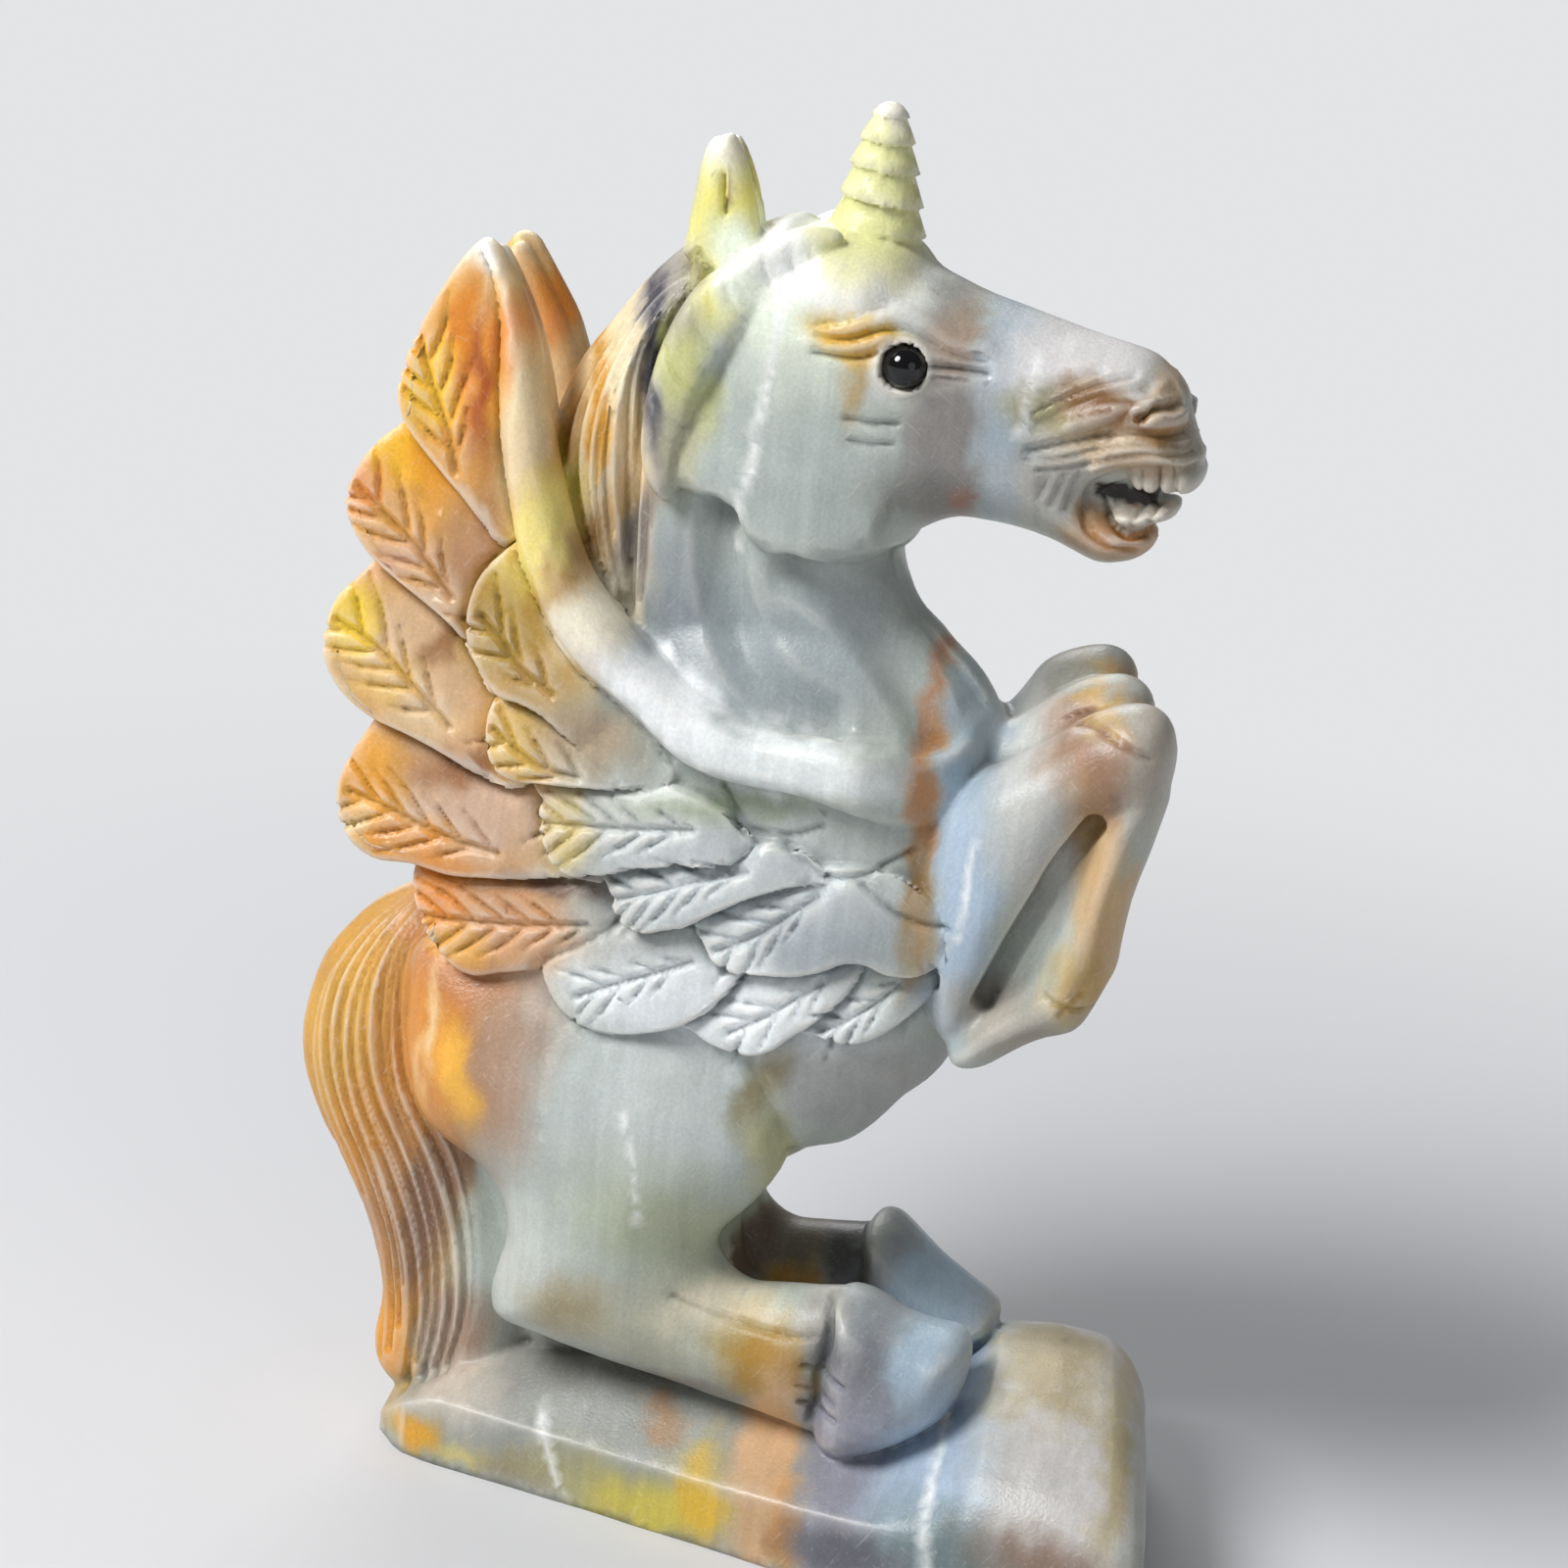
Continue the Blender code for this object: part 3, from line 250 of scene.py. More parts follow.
def inside(points, ring):
    """Whether each flat point is inside a closed ring."""
    x, z = points[:, 0], points[:, 1]
    hit = np.zeros(len(points), bool)
    for a, b in zip(ring, np.roll(ring, -1, axis=0)):
        if a[1] != b[1]:
            crosses = (a[1] > z) != (b[1] > z)
            hit ^= crosses & (x < (b[0] - a[0]) * (z - a[1]) / (b[1] - a[1]) + a[0])
    return hit


def value(rule, x, z):
    """A number, or what a rule gives at these places."""
    return rule(x, z) if callable(rule) else np.full(len(x), float(rule))


def along_x(*pairs):
    """A rule that blends between (x, value) pairs."""
    xs, vs = zip(*pairs)
    return lambda x, z: np.interp(x, xs, vs)


def along_z(*pairs):
    """A rule that blends between (z, value) pairs."""
    zs, vs = zip(*pairs)
    return lambda x, z: np.interp(z, zs, vs)


# Masses
def slab(outline, middle, half, edge, cell=1.2):
    """A rounded slab seen from the side: its outline in X and Z, swelling to half on each side of middle."""
    ring = curve(outline)
    low, high = ring.min(axis=0), ring.max(axis=0)
    gx, gz = np.meshgrid(np.arange(low[0], high[0], cell), np.arange(low[1], high[1], cell))
    inner = np.stack([gx.ravel(), gz.ravel()], axis=1)
    inner = inner[inside(inner, ring)]
    inner = inner[distance(inner, ring) > 0.45 * cell]
    rims = np.concatenate([inset_ring(ring, share * min(edge, 4.0)) for share in (0.06, 0.25, 0.6)])
    rims = rims[inside(rims, ring)]
    flat = np.concatenate([ring, inner, rims])
    count = len(ring)
    border = [(i, (i + 1) % count) for i in range(count)]
    flat_verts = [Vector(p) for p in flat]
    verts, _, faces, _, _, _ = delaunay_2d_cdt(flat_verts, border, [], 1, 1e-4)
    p = np.array([(v.x, v.y) for v in verts])
    away = distance(p, ring)
    t = np.clip(away / edge, 0.0, 1.0)
    swell = value(half, p[:, 0], p[:, 1]) * np.sqrt(1.0 - (1.0 - t) ** 2)
    mid = value(middle, p[:, 0], p[:, 1])
    rim = away < 1e-3
    front = [(x, m - s, z) for (x, z), m, s in zip(p, mid, swell)]
    index_back = {}
    points = list(front)
    for i, ((x, z), m, s) in enumerate(zip(p, mid, swell)):
        if rim[i]:
            index_back[i] = i
        else:
            index_back[i] = len(points)
            points.append((x, m + s, z))
    tris = []
    for f in faces:
        a, b, c = f[0], f[1], f[2]
        tris.append((a, b, c))
        tris.append((index_back[c], index_back[b], index_back[a]))
    return np.array(points), tris


def inset_ring(ring, amount):
    """The ring moved inwards by an amount."""
    ahead = np.roll(ring, -1, axis=0) - np.roll(ring, 1, axis=0)
    normal = np.stack([-ahead[:, 1], ahead[:, 0]], axis=1)
    normal /= np.maximum(np.linalg.norm(normal, axis=1, keepdims=True), 1e-9)
    area = np.sum(ring[:, 0] * np.roll(ring[:, 1], -1) - np.roll(ring[:, 0], -1) * ring[:, 1])
    return ring + normal * amount * (1 if area > 0 else -1)


def rope(stations, sides=14, steps=5):
    """A tapering round limb through (x, y, z, half width across, half width in the side view)."""
    line = curve(stations, closed=False, steps=steps)
    centre = line[:, :3]
    ahead = np.gradient(centre, axis=0)
    ahead /= np.linalg.norm(ahead, axis=1, keepdims=True)
    across = np.array([0.0, 1.0, 0.0]) - ahead * ahead[:, 1:2]
    across /= np.linalg.norm(across, axis=1, keepdims=True)
    up = np.cross(ahead, across)
    points = []
    for c, s, u, row in zip(centre, across, up, line):
        for k in range(sides):
            a = 2 * math.pi * k / sides
            points.append(c + s * math.cos(a) * row[3] + u * math.sin(a) * row[4])
    rows = len(line)
    tris = []
    for r in range(rows - 1):
        for k in range(sides):
            a, b = r * sides + k, r * sides + (k + 1) % sides
            c, d = a + sides, b + sides
            tris.extend([(a, c, b), (b, c, d)])
    first, last = len(points), len(points) + 1
    points.extend([centre[0], centre[-1]])
    top = (rows - 1) * sides
    for k in range(sides):
        after = (k + 1) % sides
        tris.append((first, k, after))
        tris.append((last, top + after, top + k))
    return np.array(points), tris


def mirrored(shape, shift=None):
    """The same mass on the far side, moved by a rule of its place if one is given."""
    points, tris = shape
    points = points * np.array([1.0, -1.0, 1.0])
    if shift is not None:
        points = points + shift(points)
    return points, [(c, b, a) for a, b, c in tris]


# Blender meshes
def mesh_object(name, shapes):
    """One object holding several masses, each closed."""
    points, faces, start = [], [], 0
    for p, shape_faces in shapes:
        points.append(p)
        faces.extend([tuple(i + start for i in f) for f in shape_faces])
        start += len(p)
    mesh = bpy.data.meshes.new(name)
    mesh.from_pydata((np.concatenate(points) * MM).tolist(), [], faces)
    item = bpy.data.objects.new(name, mesh)
    bpy.context.scene.collection.objects.link(item)
    return item


def settle(item):
    """Make the modifiers' result the object's own mesh."""
    graph = bpy.context.evaluated_depsgraph_get()
    made = bpy.data.meshes.new_from_object(item.evaluated_get(graph))
    item.modifiers.clear()
    item.data = made


def fuse(item, voxel, passes):
    """Join overlapping masses into one skin and rub it smooth."""
    remesh = item.modifiers.new("Fuse", "REMESH")
    remesh.mode = "VOXEL"
    remesh.voxel_size = voxel * MM
    remesh.use_smooth_shade = True
    smooth = item.modifiers.new("Rub", "SMOOTH")
    smooth.factor = 0.5
    smooth.iterations = passes
    settle(item)


def read_points(item):
    flat = np.empty(len(item.data.vertices) * 3, np.float32)
    item.data.vertices.foreach_get("co", flat)
    return flat.reshape(-1, 3).astype(float) / MM


def read_normals(item):
    flat = np.empty(len(item.data.vertices) * 3, np.float32)
    item.data.vertices.foreach_get("normal", flat)
    return flat.reshape(-1, 3).astype(float)


def as_shape(item):
    """An object's mesh as points and faces, and the object gone."""
    shape = read_points(item), [tuple(f.vertices) for f in item.data.polygons]
    bpy.data.objects.remove(item)
    return shape


def write_points(item, points):
    item.data.vertices.foreach_set("co", (points * MM).astype(np.float32).ravel())
    item.data.update()


# The side view of each mass, in X and Z
TORSO = [
    (20.5, 91), (22.5, 84), (23, 76), (22.5, 67), (21.5, 59), (20.5, 52.5), (19, 50), (16.5, 47.5),
    (14, 44), (11.5, 41.5), (8, 40.2), (4, 37.5), (-3, 35), (-12, 33), (-22, 33), (-28.5, 35.5),
    (-33, 39), (-34.8, 44), (-35.5, 50), (-35, 57), (-32, 64), (-27, 72), (-23, 82), (-19, 92),
    (-12, 99), (0, 101), (12, 98),
]
NECK = [
    (9, 106), (10, 102.5), (12, 99), (14.5, 97), (16.5, 94.5), (18.5, 92), (20.5, 89), (18, 80), (0, 78),
    (-16, 84), (-19, 95), (-20, 106), (-19, 118), (-14, 128), (-6, 130), (2, 122),
]
MANE = [
    (-9, 133), (-12, 132.8), (-15.5, 131.3), (-19, 127.5), (-21.7, 123.5), (-24.5, 119.5), (-26.2, 115.5),
    (-27.5, 110.5), (-27.3, 106), (-25.5, 101.5), (-22.5, 97), (-18, 94), (-14.5, 92.5), (-13.5, 98),
    (-13.5, 106), (-13, 114), (-12.5, 121), (-9, 128),
]
HEAD = [
    (-10.5, 132.5), (-8, 134.5), (-6, 135.5), (-4.3, 136), (-2.5, 135.2), (-1, 136), (2, 136), (6, 135.4),
    (8.3, 134), (9.5, 132.7), (11.5, 132), (14.5, 131), (19.5, 130), (24, 129), (29, 128.1), (32, 127.4),
    (34, 126), (35.5, 124), (36.3, 121.8), (37, 119.8), (37.8, 118.3), (37.3, 116.8), (35, 115.8),
    (32.5, 115.2), (29.5, 114), (28.7, 113.2), (30, 112.2), (33, 111.4), (34.8, 110.3), (34.3, 108.6),
    (32.8, 107.3), (29.5, 106.5), (27, 107.3), (25, 108), (22, 108.6), (17, 109), (15.3, 109), (13, 108),
    (11.5, 107), (8, 105), (0, 104.5), (-7, 108), (-11.5, 112), (-12.5, 122),
]
CHEEK = [
    (11.2, 107.5), (10.3, 105.3), (8.5, 104.2), (5.5, 103.2), (3, 102.7), (0.5, 102.7), (-2, 103.2),
    (-4, 104.2), (-5.5, 105.2), (-8, 106.8), (-9.8, 107.8), (-12, 108.4), (-13, 112), (-12, 120),
    (-7, 127), (2, 129), (9, 121), (12.5, 114),
]
UPPER_LIP = [
    (27.5, 122), (30.5, 124.8), (33.6, 126.2), (35.6, 124.4), (36.6, 121.6), (37.4, 119.7), (38.1, 118.2),
    (37.6, 116.9), (34.8, 116.3), (31.5, 115.6), (28.7, 114.4), (26.2, 116),
]
LOCK = [
    (2, 135.6), (-1, 136.2), (-5, 134.4), (-7.5, 132.6), (-10.5, 130.2), (-12.3, 127.7), (-13.7, 124.5), (-14.7, 121),
    (-15.3, 117), (-15.3, 113), (-14.2, 109.5), (-12.2, 108), (-10.8, 110), (-10.4, 113), (-9.8, 115.8),
    (-9, 118.7), (-7.6, 121.9), (-5.8, 124.5), (-4.1, 126.9), (-2.2, 128.9), (-0.5, 131), (1.3, 133.2),
]
THIGH = [
    (-35, 57), (-35.6, 50.5), (-35, 45), (-33.5, 40), (-31, 37), (-28.5, 35.5), (-26, 34), (-24, 32.3),
    (-22.8, 30), (-22.4, 27), (-23.2, 23.5), (-23.8, 20), (-23.2, 17.8), (-21.5, 16.7), (-18, 16.3),
    (-12, 15.4), (-6, 14.6), (0, 13.6), (6, 12.8), (10, 12.2), (14.5, 12), (15.5, 20), (15, 28),
    (11, 27.6), (7, 27), (4, 26.6), (2, 27.4), (0.4, 29), (0.3, 31), (1.5, 33), (3.7, 35.7), (5.7, 38.7),
    (6.7, 41.5), (6.3, 44.5), (5, 47), (3.5, 49.5), (1, 54), (-5, 59), (-14, 62), (-25, 62),
]
HIND_HOOF = [
    (13.8, 27.9), (16.3, 28.1), (18.5, 27.5), (20.5, 26.7), (23.5, 26.2), (26.3, 26), (27.7, 24.9),
    (28.1, 22.5), (27.6, 19.5), (26.5, 17), (24.3, 14.6), (21.5, 12.4), (18.5, 10.8), (16.5, 10),
    (14.8, 10.4), (13, 12), (12.8, 18), (13.2, 24),
]
FAR_HIND_HOOF = [
    (12.8, 29), (15, 29.2), (17.5, 27.6), (20.5, 25.2), (23.5, 23.4), (26, 22), (27.4, 21), (27.7, 19.6),
    (25.5, 17), (21, 14), (16, 12), (12.8, 13), (12.5, 20),
]
ARM = [
    (12, 76), (16, 80), (19, 83.5), (22, 85.8), (25, 87.7), (28, 90), (31, 92.8), (34, 94.4), (37, 95),
    (39.2, 93.9), (40.4, 91), (40.4, 88), (39.5, 85), (36.5, 83.6), (34.4, 82.9), (33.2, 81), (31.3, 77.3),
    (29.4, 73), (27.4, 68), (25.6, 63.5), (24.2, 59), (21.5, 57), (17, 62), (13, 68),
]
CANNON = [
    (34.2, 84.5), (37, 87), (40.2, 87), (39.7, 83), (38.9, 79), (38, 75), (37.6, 71), (37.4, 68),
    (36.5, 65.5), (35.7, 63.3), (34.5, 61), (31.7, 59.8), (29, 58), (26.7, 56), (25, 55), (23, 54.8),
    (21.8, 56), (22.5, 59), (25, 62), (28, 64.3), (29.8, 66.5), (31, 70), (32.3, 74), (33.4, 79),
]
SLOT_FLOOR = [
    (18, 62), (22, 57.5), (27, 60), (31, 66), (33.5, 72), (35.5, 79), (36.5, 85), (30, 88), (20, 82),
]
TAIL = [
    (-33, 67), (-37, 61.5), (-40.5, 59.2), (-43.3, 57), (-46, 54), (-48, 51), (-49.4, 47), (-50, 43),
    (-49.8, 39.5), (-48.8, 35.5), (-47, 31.5), (-45, 28.3), (-43, 25), (-41.2, 21.5), (-40, 18), (-39.2, 14.5),
    (-39, 11), (-39.4, 8), (-39, 5.3), (-37.4, 3.2), (-34, 1.5), (-26, 2), (-21.5, 6), (-21, 14),
    (-22, 21), (-25, 28.5), (-29, 36), (-30, 50),
]
EAR = [
    (-13.6, 130), (-13.7, 134.5), (-13.3, 138), (-12.9, 141), (-12.2, 142.8), (-11, 143.3), (-10.3, 143.6),
    (-9.3, 142.4), (-8.3, 140.4), (-7.4, 138), (-6.5, 134.5), (-6.6, 130),
]
BAND = [
    (-33, 130.8), (-31.5, 130.6), (-29.8, 128.6), (-28, 125.5), (-26.5, 122.3), (-25.5, 119), (-24.5, 114.7),
    (-23.4, 111), (-22, 107), (-20.2, 102.5), (-18.4, 99.3), (-16.3, 97), (-14, 95), (-11.3, 92.8),
    (-8.5, 90.8), (-5, 89.4), (-2, 88.6), (2, 88.2), (6, 88.3), (10, 88.5), (15, 88.8), (20.5, 88.5),
    (21.5, 82), (17.5, 79), (14.5, 79.2), (11, 80.4), (8, 81), (4, 81.5), (0, 81.5), (-3, 81.7),
    (-6.5, 82.6), (-9.2, 84), (-11.8, 86), (-14.7, 88), (-17.8, 90), (-20.4, 92.5), (-22.7, 95.5),
    (-24.8, 99), (-26.3, 102), (-27.2, 105), (-28.2, 108.7), (-29, 112.5), (-29.6, 117), (-30.1, 123),
    (-31.5, 128),
]
BLADE = [
    (-32.5, 130), (-35.5, 125), (-38.2, 118), (-38.5, 113), (-42.5, 107), (-43, 102.5), (-40, 97.5),
    (-43.3, 94), (-44.2, 88.5), (-42.5, 84), (-39, 81), (-41.5, 77), (-42, 72), (-39.5, 68.3), (-33.5, 67.5),
    (-33, 62), (-28.5, 58), (-20, 60), (-10, 62), (2, 66), (14, 70), (16, 80), (4, 86), (-8, 88),
    (-16.5, 96.4), (-18.7, 98.9), (-20.6, 102), (-22.4, 106.5), (-23.7, 110.5), (-24.8, 114.4), (-25.8, 118.7),
    (-26.8, 122), (-28.3, 125.2), (-30.1, 128.3), (-31.6, 130.1),
]

# Feathers: outline, lift over the flank, and midrib from its outer end inwards
QUILLS = {
    "first": (
        [(-32.7, 130.9), (-34.2, 129.3), (-36.6, 125), (-38.2, 121.5), (-39.3, 118), (-39.7, 114.8),
         (-38.7, 112), (-37, 110), (-34.5, 107.6), (-32, 105.4), (-29.7, 103), (-27.5, 101), (-26, 106),
         (-27.5, 114), (-28.5, 122), (-30.3, 128.5)],
        [(-38, 121), (-36, 116), (-34, 111.5), (-33, 108)]),
    "second": (
        [(-38, 112.7), (-40.5, 111), (-42.6, 108.8), (-44, 106), (-44.6, 103.5), (-43.8, 101.3), (-42.3, 99.2),
         (-40.8, 97.7), (-38.3, 96), (-35, 94.1), (-31.7, 91.8), (-29.3, 88.7), (-27, 86), (-24.5, 92),
         (-26.5, 101), (-32, 107.5), (-35.5, 111.2)],
        [(-43.3, 105), (-40, 102.5), (-37, 100.2), (-34.7, 97.7), (-32.5, 95.3)]),
    "third": (
        [(-40, 98.6), (-43, 95.6), (-44.8, 93.3), (-45.7, 90), (-45.5, 87), (-44.2, 84.7), (-42.2, 82.8),
         (-39.8, 81.5), (-36, 80.4), (-32.3, 79), (-28.5, 77.6), (-24, 76.8), (-21.5, 80), (-24, 87),
         (-30, 92.8), (-36, 96.3)],
        [(-44.5, 91), (-41.5, 89.7), (-38.5, 87.8), (-35.2, 85), (-31.7, 82)]),
    "fourth": (
        [(-39.2, 82.3), (-41.2, 79.5), (-43, 75.5), (-43.4, 72.5), (-42.7, 70), (-41, 68), (-38.5, 66.9),
         (-34.5, 67), (-30.5, 66.4), (-26.5, 66.8), (-22.5, 67.4), (-18, 68.3), (-13, 69), (-13, 73),
         (-20, 77), (-28, 78.7), (-34.5, 80.6)],
        [(-42, 73.3), (-38, 72.4), (-34, 71.2), (-30, 70.2), (-25.5, 69.8)]),
    "fifth": (
        [(-34.3, 67.6), (-34.7, 64), (-33.2, 60.2), (-31.5, 58.4), (-29.2, 56.7), (-27, 56.2), (-24, 57.1),
         (-20.5, 58.1), (-15, 59.7), (-9.5, 63), (-5, 66.5), (-8, 70), (-16, 69.6), (-25, 68.2)],
        [(-33.7, 61.3), (-28, 61.8), (-22, 62.6), (-15.7, 63.7)]),
}
COVERTS = {
    "a": (
        [(-25.9, 102), (-28, 100.2), (-29.6, 97.5), (-30.1, 93.5), (-29.2, 90.6), (-27.6, 88.5), (-26, 86.8),
         (-23.7, 86.3), (-21, 85.2), (-18, 83), (-14, 80.5), (-11, 84), (-16, 89), (-21, 94), (-24.5, 99)],
        [(-28.5, 94.6), (-26, 92.3), (-23.7, 89.8), (-20.5, 88)]),
    "b": (
        [(-26.4, 86.6), (-27.2, 84), (-26.9, 81.2), (-25.8, 79.3), (-23.8, 78.4), (-21, 78.5), (-16, 78.8),
         (-11, 79.5), (-8, 81), (-11, 85), (-16, 86.5), (-22, 87)],
        [(-26.3, 83.3), (-23.5, 81.6), (-20.7, 80.3), (-17, 79.9)]),
    "c": (
        [(-22.7, 78.6), (-21.3, 76.8), (-21, 74.3), (-20.1, 72), (-18.9, 70.3), (-17, 69.5), (-14.4, 70),
         (-11, 71.2), (-7, 72.3), (-1, 73.6), (1, 76), (-3, 79), (-9, 80.4), (-16, 79.6)],
        [(-21.3, 74.4), (-16.5, 74.9), (-11.5, 75.5), (-5, 76.6)]),
    "d": (
        [(-14.4, 70.2), (-13.2, 68.6), (-12.4, 66.6), (-11, 65.3), (-9, 65), (-6.8, 65.7), (-5, 66.3),
         (-2.3, 68.2), (1.5, 70.5), (5.5, 72.4), (9, 73.5), (6, 76), (0, 75.6), (-6, 73.6)],
        [(-12.5, 67.8), (-8.5, 69.3), (-4.5, 71.3), (0.8, 73.4)]),
    "e": (
        [(-4.6, 66.6), (-3, 64.7), (-1.7, 63), (0.3, 62.4), (3.5, 62.8), (7, 63.5), (9.5, 64.5), (11.6, 65.7),
         (13.6, 66), (16, 65.2), (19, 65.2), (21, 67), (20, 71.5), (15, 75), (9, 75), (3, 72.4), (-1.5, 69)],
        [(-1.6, 64.3), (2, 66.5), (5, 69), (8, 72)]),
}
LOWER_ROW = {
    "f": (
        [(-19.8, 58.6), (-19, 56.2), (-17.4, 54.5), (-15.2, 53.5), (-12.5, 53.2), (-9.8, 53.5), (-6.5, 54.6),
         (-3.5, 56.3), (0, 60), (2, 64), (-3, 67.5), (-10, 66), (-15.5, 61.8)],
        [(-15.7, 56.4), (-11.5, 58.7), (-7.5, 60.7), (-4, 62.5)]),
    "g": (
        [(-6.3, 55), (-3.5, 54.9), (-1.3, 54), (1, 53.7), (3.3, 53.9), (5.3, 55), (6.8, 56.5), (8.5, 57.8),
         (12, 62), (13, 66), (6, 67), (0, 62.5), (-4, 57.8)],
        [(0.5, 55.8), (4, 58.2), (6.7, 60.5), (9.5, 63)]),
    "h": (
        [(6.8, 56.8), (9, 57), (11.3, 56.7), (13.6, 57), (15.6, 58), (17.5, 59.6), (19.5, 62), (20.8, 65),
         (17, 68), (12, 66), (9, 61)],
        [(9.7, 57.8), (12.7, 59.7), (15.2, 61.6), (17, 63.7)]),
}

# Hair: the back and front lines that the strands run between
MANE_BACK = [(-12, 132), (-17.5, 128), (-22, 121.5), (-25, 114.5), (-25.6, 108), (-24, 102.5), (-21, 98)]
MANE_FRONT = [(-10.5, 130), (-13, 126.5), (-14.6, 120), (-14, 113), (-13.8, 106), (-14, 99), (-14.8, 95)]
MANE_STRANDS = 8
TAIL_BACK = [(-37, 62), (-44, 56), (-48, 49.5), (-49, 42.5), (-47.8, 35), (-44.6, 28.5), (-41.4, 21), (-39.8, 13),
             (-38.6, 5)]
TAIL_FRONT = [(-33.5, 64), (-36, 54), (-35.5, 47), (-34, 40), (-29.5, 32), (-26.8, 24), (-26, 15), (-28.5, 5)]
TAIL_STRANDS = 9


def flank(x, z):
    """How far the horse's side stands from the middle plane, where the wing lies on it."""
    chest = CHEST_ROUNDING * np.maximum(x - 8.0, 0.0) ** 2
    top = (FLANK - WING_TIP_SIDE) * np.clip((z - WING_LEAVES_Z) / WING_RISE, 0.0, 1.0)
    return FLANK - chest - top


def leaf_face(outline, lift, midrib):
    """A rule for how far a feather's face stands from the middle plane, its lower edge a little proud."""
    rib = np.array(midrib)
    along = rib[0] - rib[-1]
    along /= np.linalg.norm(along)
    down = np.array([along[1], -along[0]])
    if down[1] > 0:
        down = -down
    centre = np.array(outline).mean(axis=0)

    def face(x, z):
        proud = ((x - centre[0]) * down[0] + (z - centre[1]) * down[1]) * FEATHER_TILT
        return flank(x, z) + lift + proud

    return face


def leaf_root(lift, midrib):
    """A rule for the part of a feather behind its midrib: how far back, from 0 to 1, and how deep it sinks."""
    rib = np.array(midrib)
    along = (rib[0] - rib[-1]) / np.linalg.norm(rib[0] - rib[-1])

    def root(flat):
        behind = np.clip((rib[-1] - flat) @ along / ROOT_RUN, 0.0, 1.0)
        return behind, ROOT_SINK * lift * behind ** 2

    return root


def feather(outline, lift, midrib):
    """One feather: a thin leaf lying on the flank."""
    face = leaf_face(outline, lift, midrib)
    return slab(outline, lambda x, z: FEATHER_HALF - face(x, z), FEATHER_HALF, 1.5, cell=1.0)


def wing():
    """The near wing: blade, quills, coverts and the smooth band along its leading edge."""
    parts = [slab(BLADE, lambda x, z: -(flank(x, z) - BLADE_HALF - BLADE_SINK), BLADE_HALF, 2.2)]
    for outline, midrib in QUILLS.values():
        parts.append(feather(outline, QUILL_LIFT, midrib))
    for outline, midrib in COVERTS.values():
        parts.append(feather(outline, COVERT_LIFT, midrib))
    for outline, midrib in LOWER_ROW.values():
        parts.append(feather(outline, LOWER_ROW_LIFT, midrib))
    band_half = along_z(*BAND_HALVES)

    def band_middle(x, z):
        lift = BAND_LIFT * np.clip((BAND_LIFT_TOP - z) / BAND_LIFT_RUN, 0.3, 1.0)
        lift -= BAND_END_SINK * np.clip((x - BAND_END_FROM) / BAND_END_RUN, 0.0, 1.0)
        return -(flank(x, z) + lift - band_half(x, z))

    parts.append(slab(BAND, band_middle, band_half, 2.4))
    return parts


def far_wing_shift(points):
    """The far wing's tips stand further back and a little lower."""
    rise = np.clip((points[:, 2] - WING_LEAVES_Z) / WING_RISE, 0.0, 1.0)
    return np.stack([-FAR_WING_BACK * rise, 0 * rise, -FAR_WING_DROP * rise], axis=1)


def rock():
    """The rock: arched sections, flat underneath, narrow behind and wide in front."""
    xs, halves, tops, sides = np.array(ROCK).T
    line = np.linspace(xs[0], xs[-1], 60)
    half, top, side = np.interp(line, xs, halves), np.interp(line, xs, tops), np.interp(line, xs, sides)
    count = 21
    points = []
    for x, w, h, s in zip(line, half, top, side):
        points.append((x, -w, -SAW_DEPTH * 0.7))
        arch = np.clip((x - ARCH_FROM) / ARCH_RUN, 0.0, 1.0)
        for k in range(count):
            a = math.pi * k / (count - 1)
            slope = min(1.0, SIDE_SLOPE * (1.0 - abs(math.cos(a))))
            rise = (1 - arch) * slope + arch * math.sin(a)
            points.append((x, -w * math.cos(a), s + (h - s) * rise))
        points.append((x, w, -SAW_DEPTH * 0.7))
    ring = count + 2
    tris = []
    for r in range(len(line) - 1):
        for k in range(ring):
            a, b = r * ring + k, r * ring + (k + 1) % ring
            tris.extend([(a, b, a + ring), (b, b + ring, a + ring)])
    for k in range(1, ring - 1):
        tris.append((0, k + 1, k))
        last = (len(line) - 1) * ring
        tris.append((last, last + k, last + k + 1))
    points = np.array(points)
    points[:, 0] -= ROCK_SLANT * points[:, 1] * np.clip(points[:, 0] / SLANT_RUN, 0.0, 1.0)
    return points, tris


def horn_radius(z):
    """How thick the horn is at each height: tapering, with a ledge at the foot of each ring."""
    levels = np.array([HORN_FOOT[2], *HORN_LEDGES, HORN_TIP[2]])
    t = np.clip((z - HORN_FOOT[2]) / (HORN_TIP[2] - HORN_FOOT[2]), 0.0, 1.0)
    ring = np.clip(np.searchsorted(levels, z, side="right"), 1, len(levels) - 1)
    saw = (z - levels[ring - 1]) / (levels[ring] - levels[ring - 1])
    radius = HORN_TIP_R + (HORN_FOOT_R - HORN_TIP_R) * (1 - t) ** 0.6
    return radius + RING_STEP * (0.5 - saw) * (1 - 0.5 * t)


def ring_drop(points):
    """How far the horn's rings are lowered towards its front, in which they slant."""
    return (points[:, 0] - HORN_FOOT[0]) * RING_TILT * np.clip((HORN_TIP[2] - points[:, 2]) / RING_TILT_RUN, 0, 1)


def horn():
    """A straight tapering horn with slanting rings, each with a small ledge."""
    heights = np.concatenate([np.linspace(HORN_FOOT[2], HORN_TIP[2], 40), np.array(HORN_LEDGES) - 0.02])
    heights = np.unique(heights)
    stations = [(HORN_FOOT[0], HORN_FOOT[1], z, r, r) for z, r in zip(heights, horn_radius(heights))]
    points, tris = rope(stations, sides=20, steps=1)
    points[:, 2] -= ring_drop(points)
    return points, tris


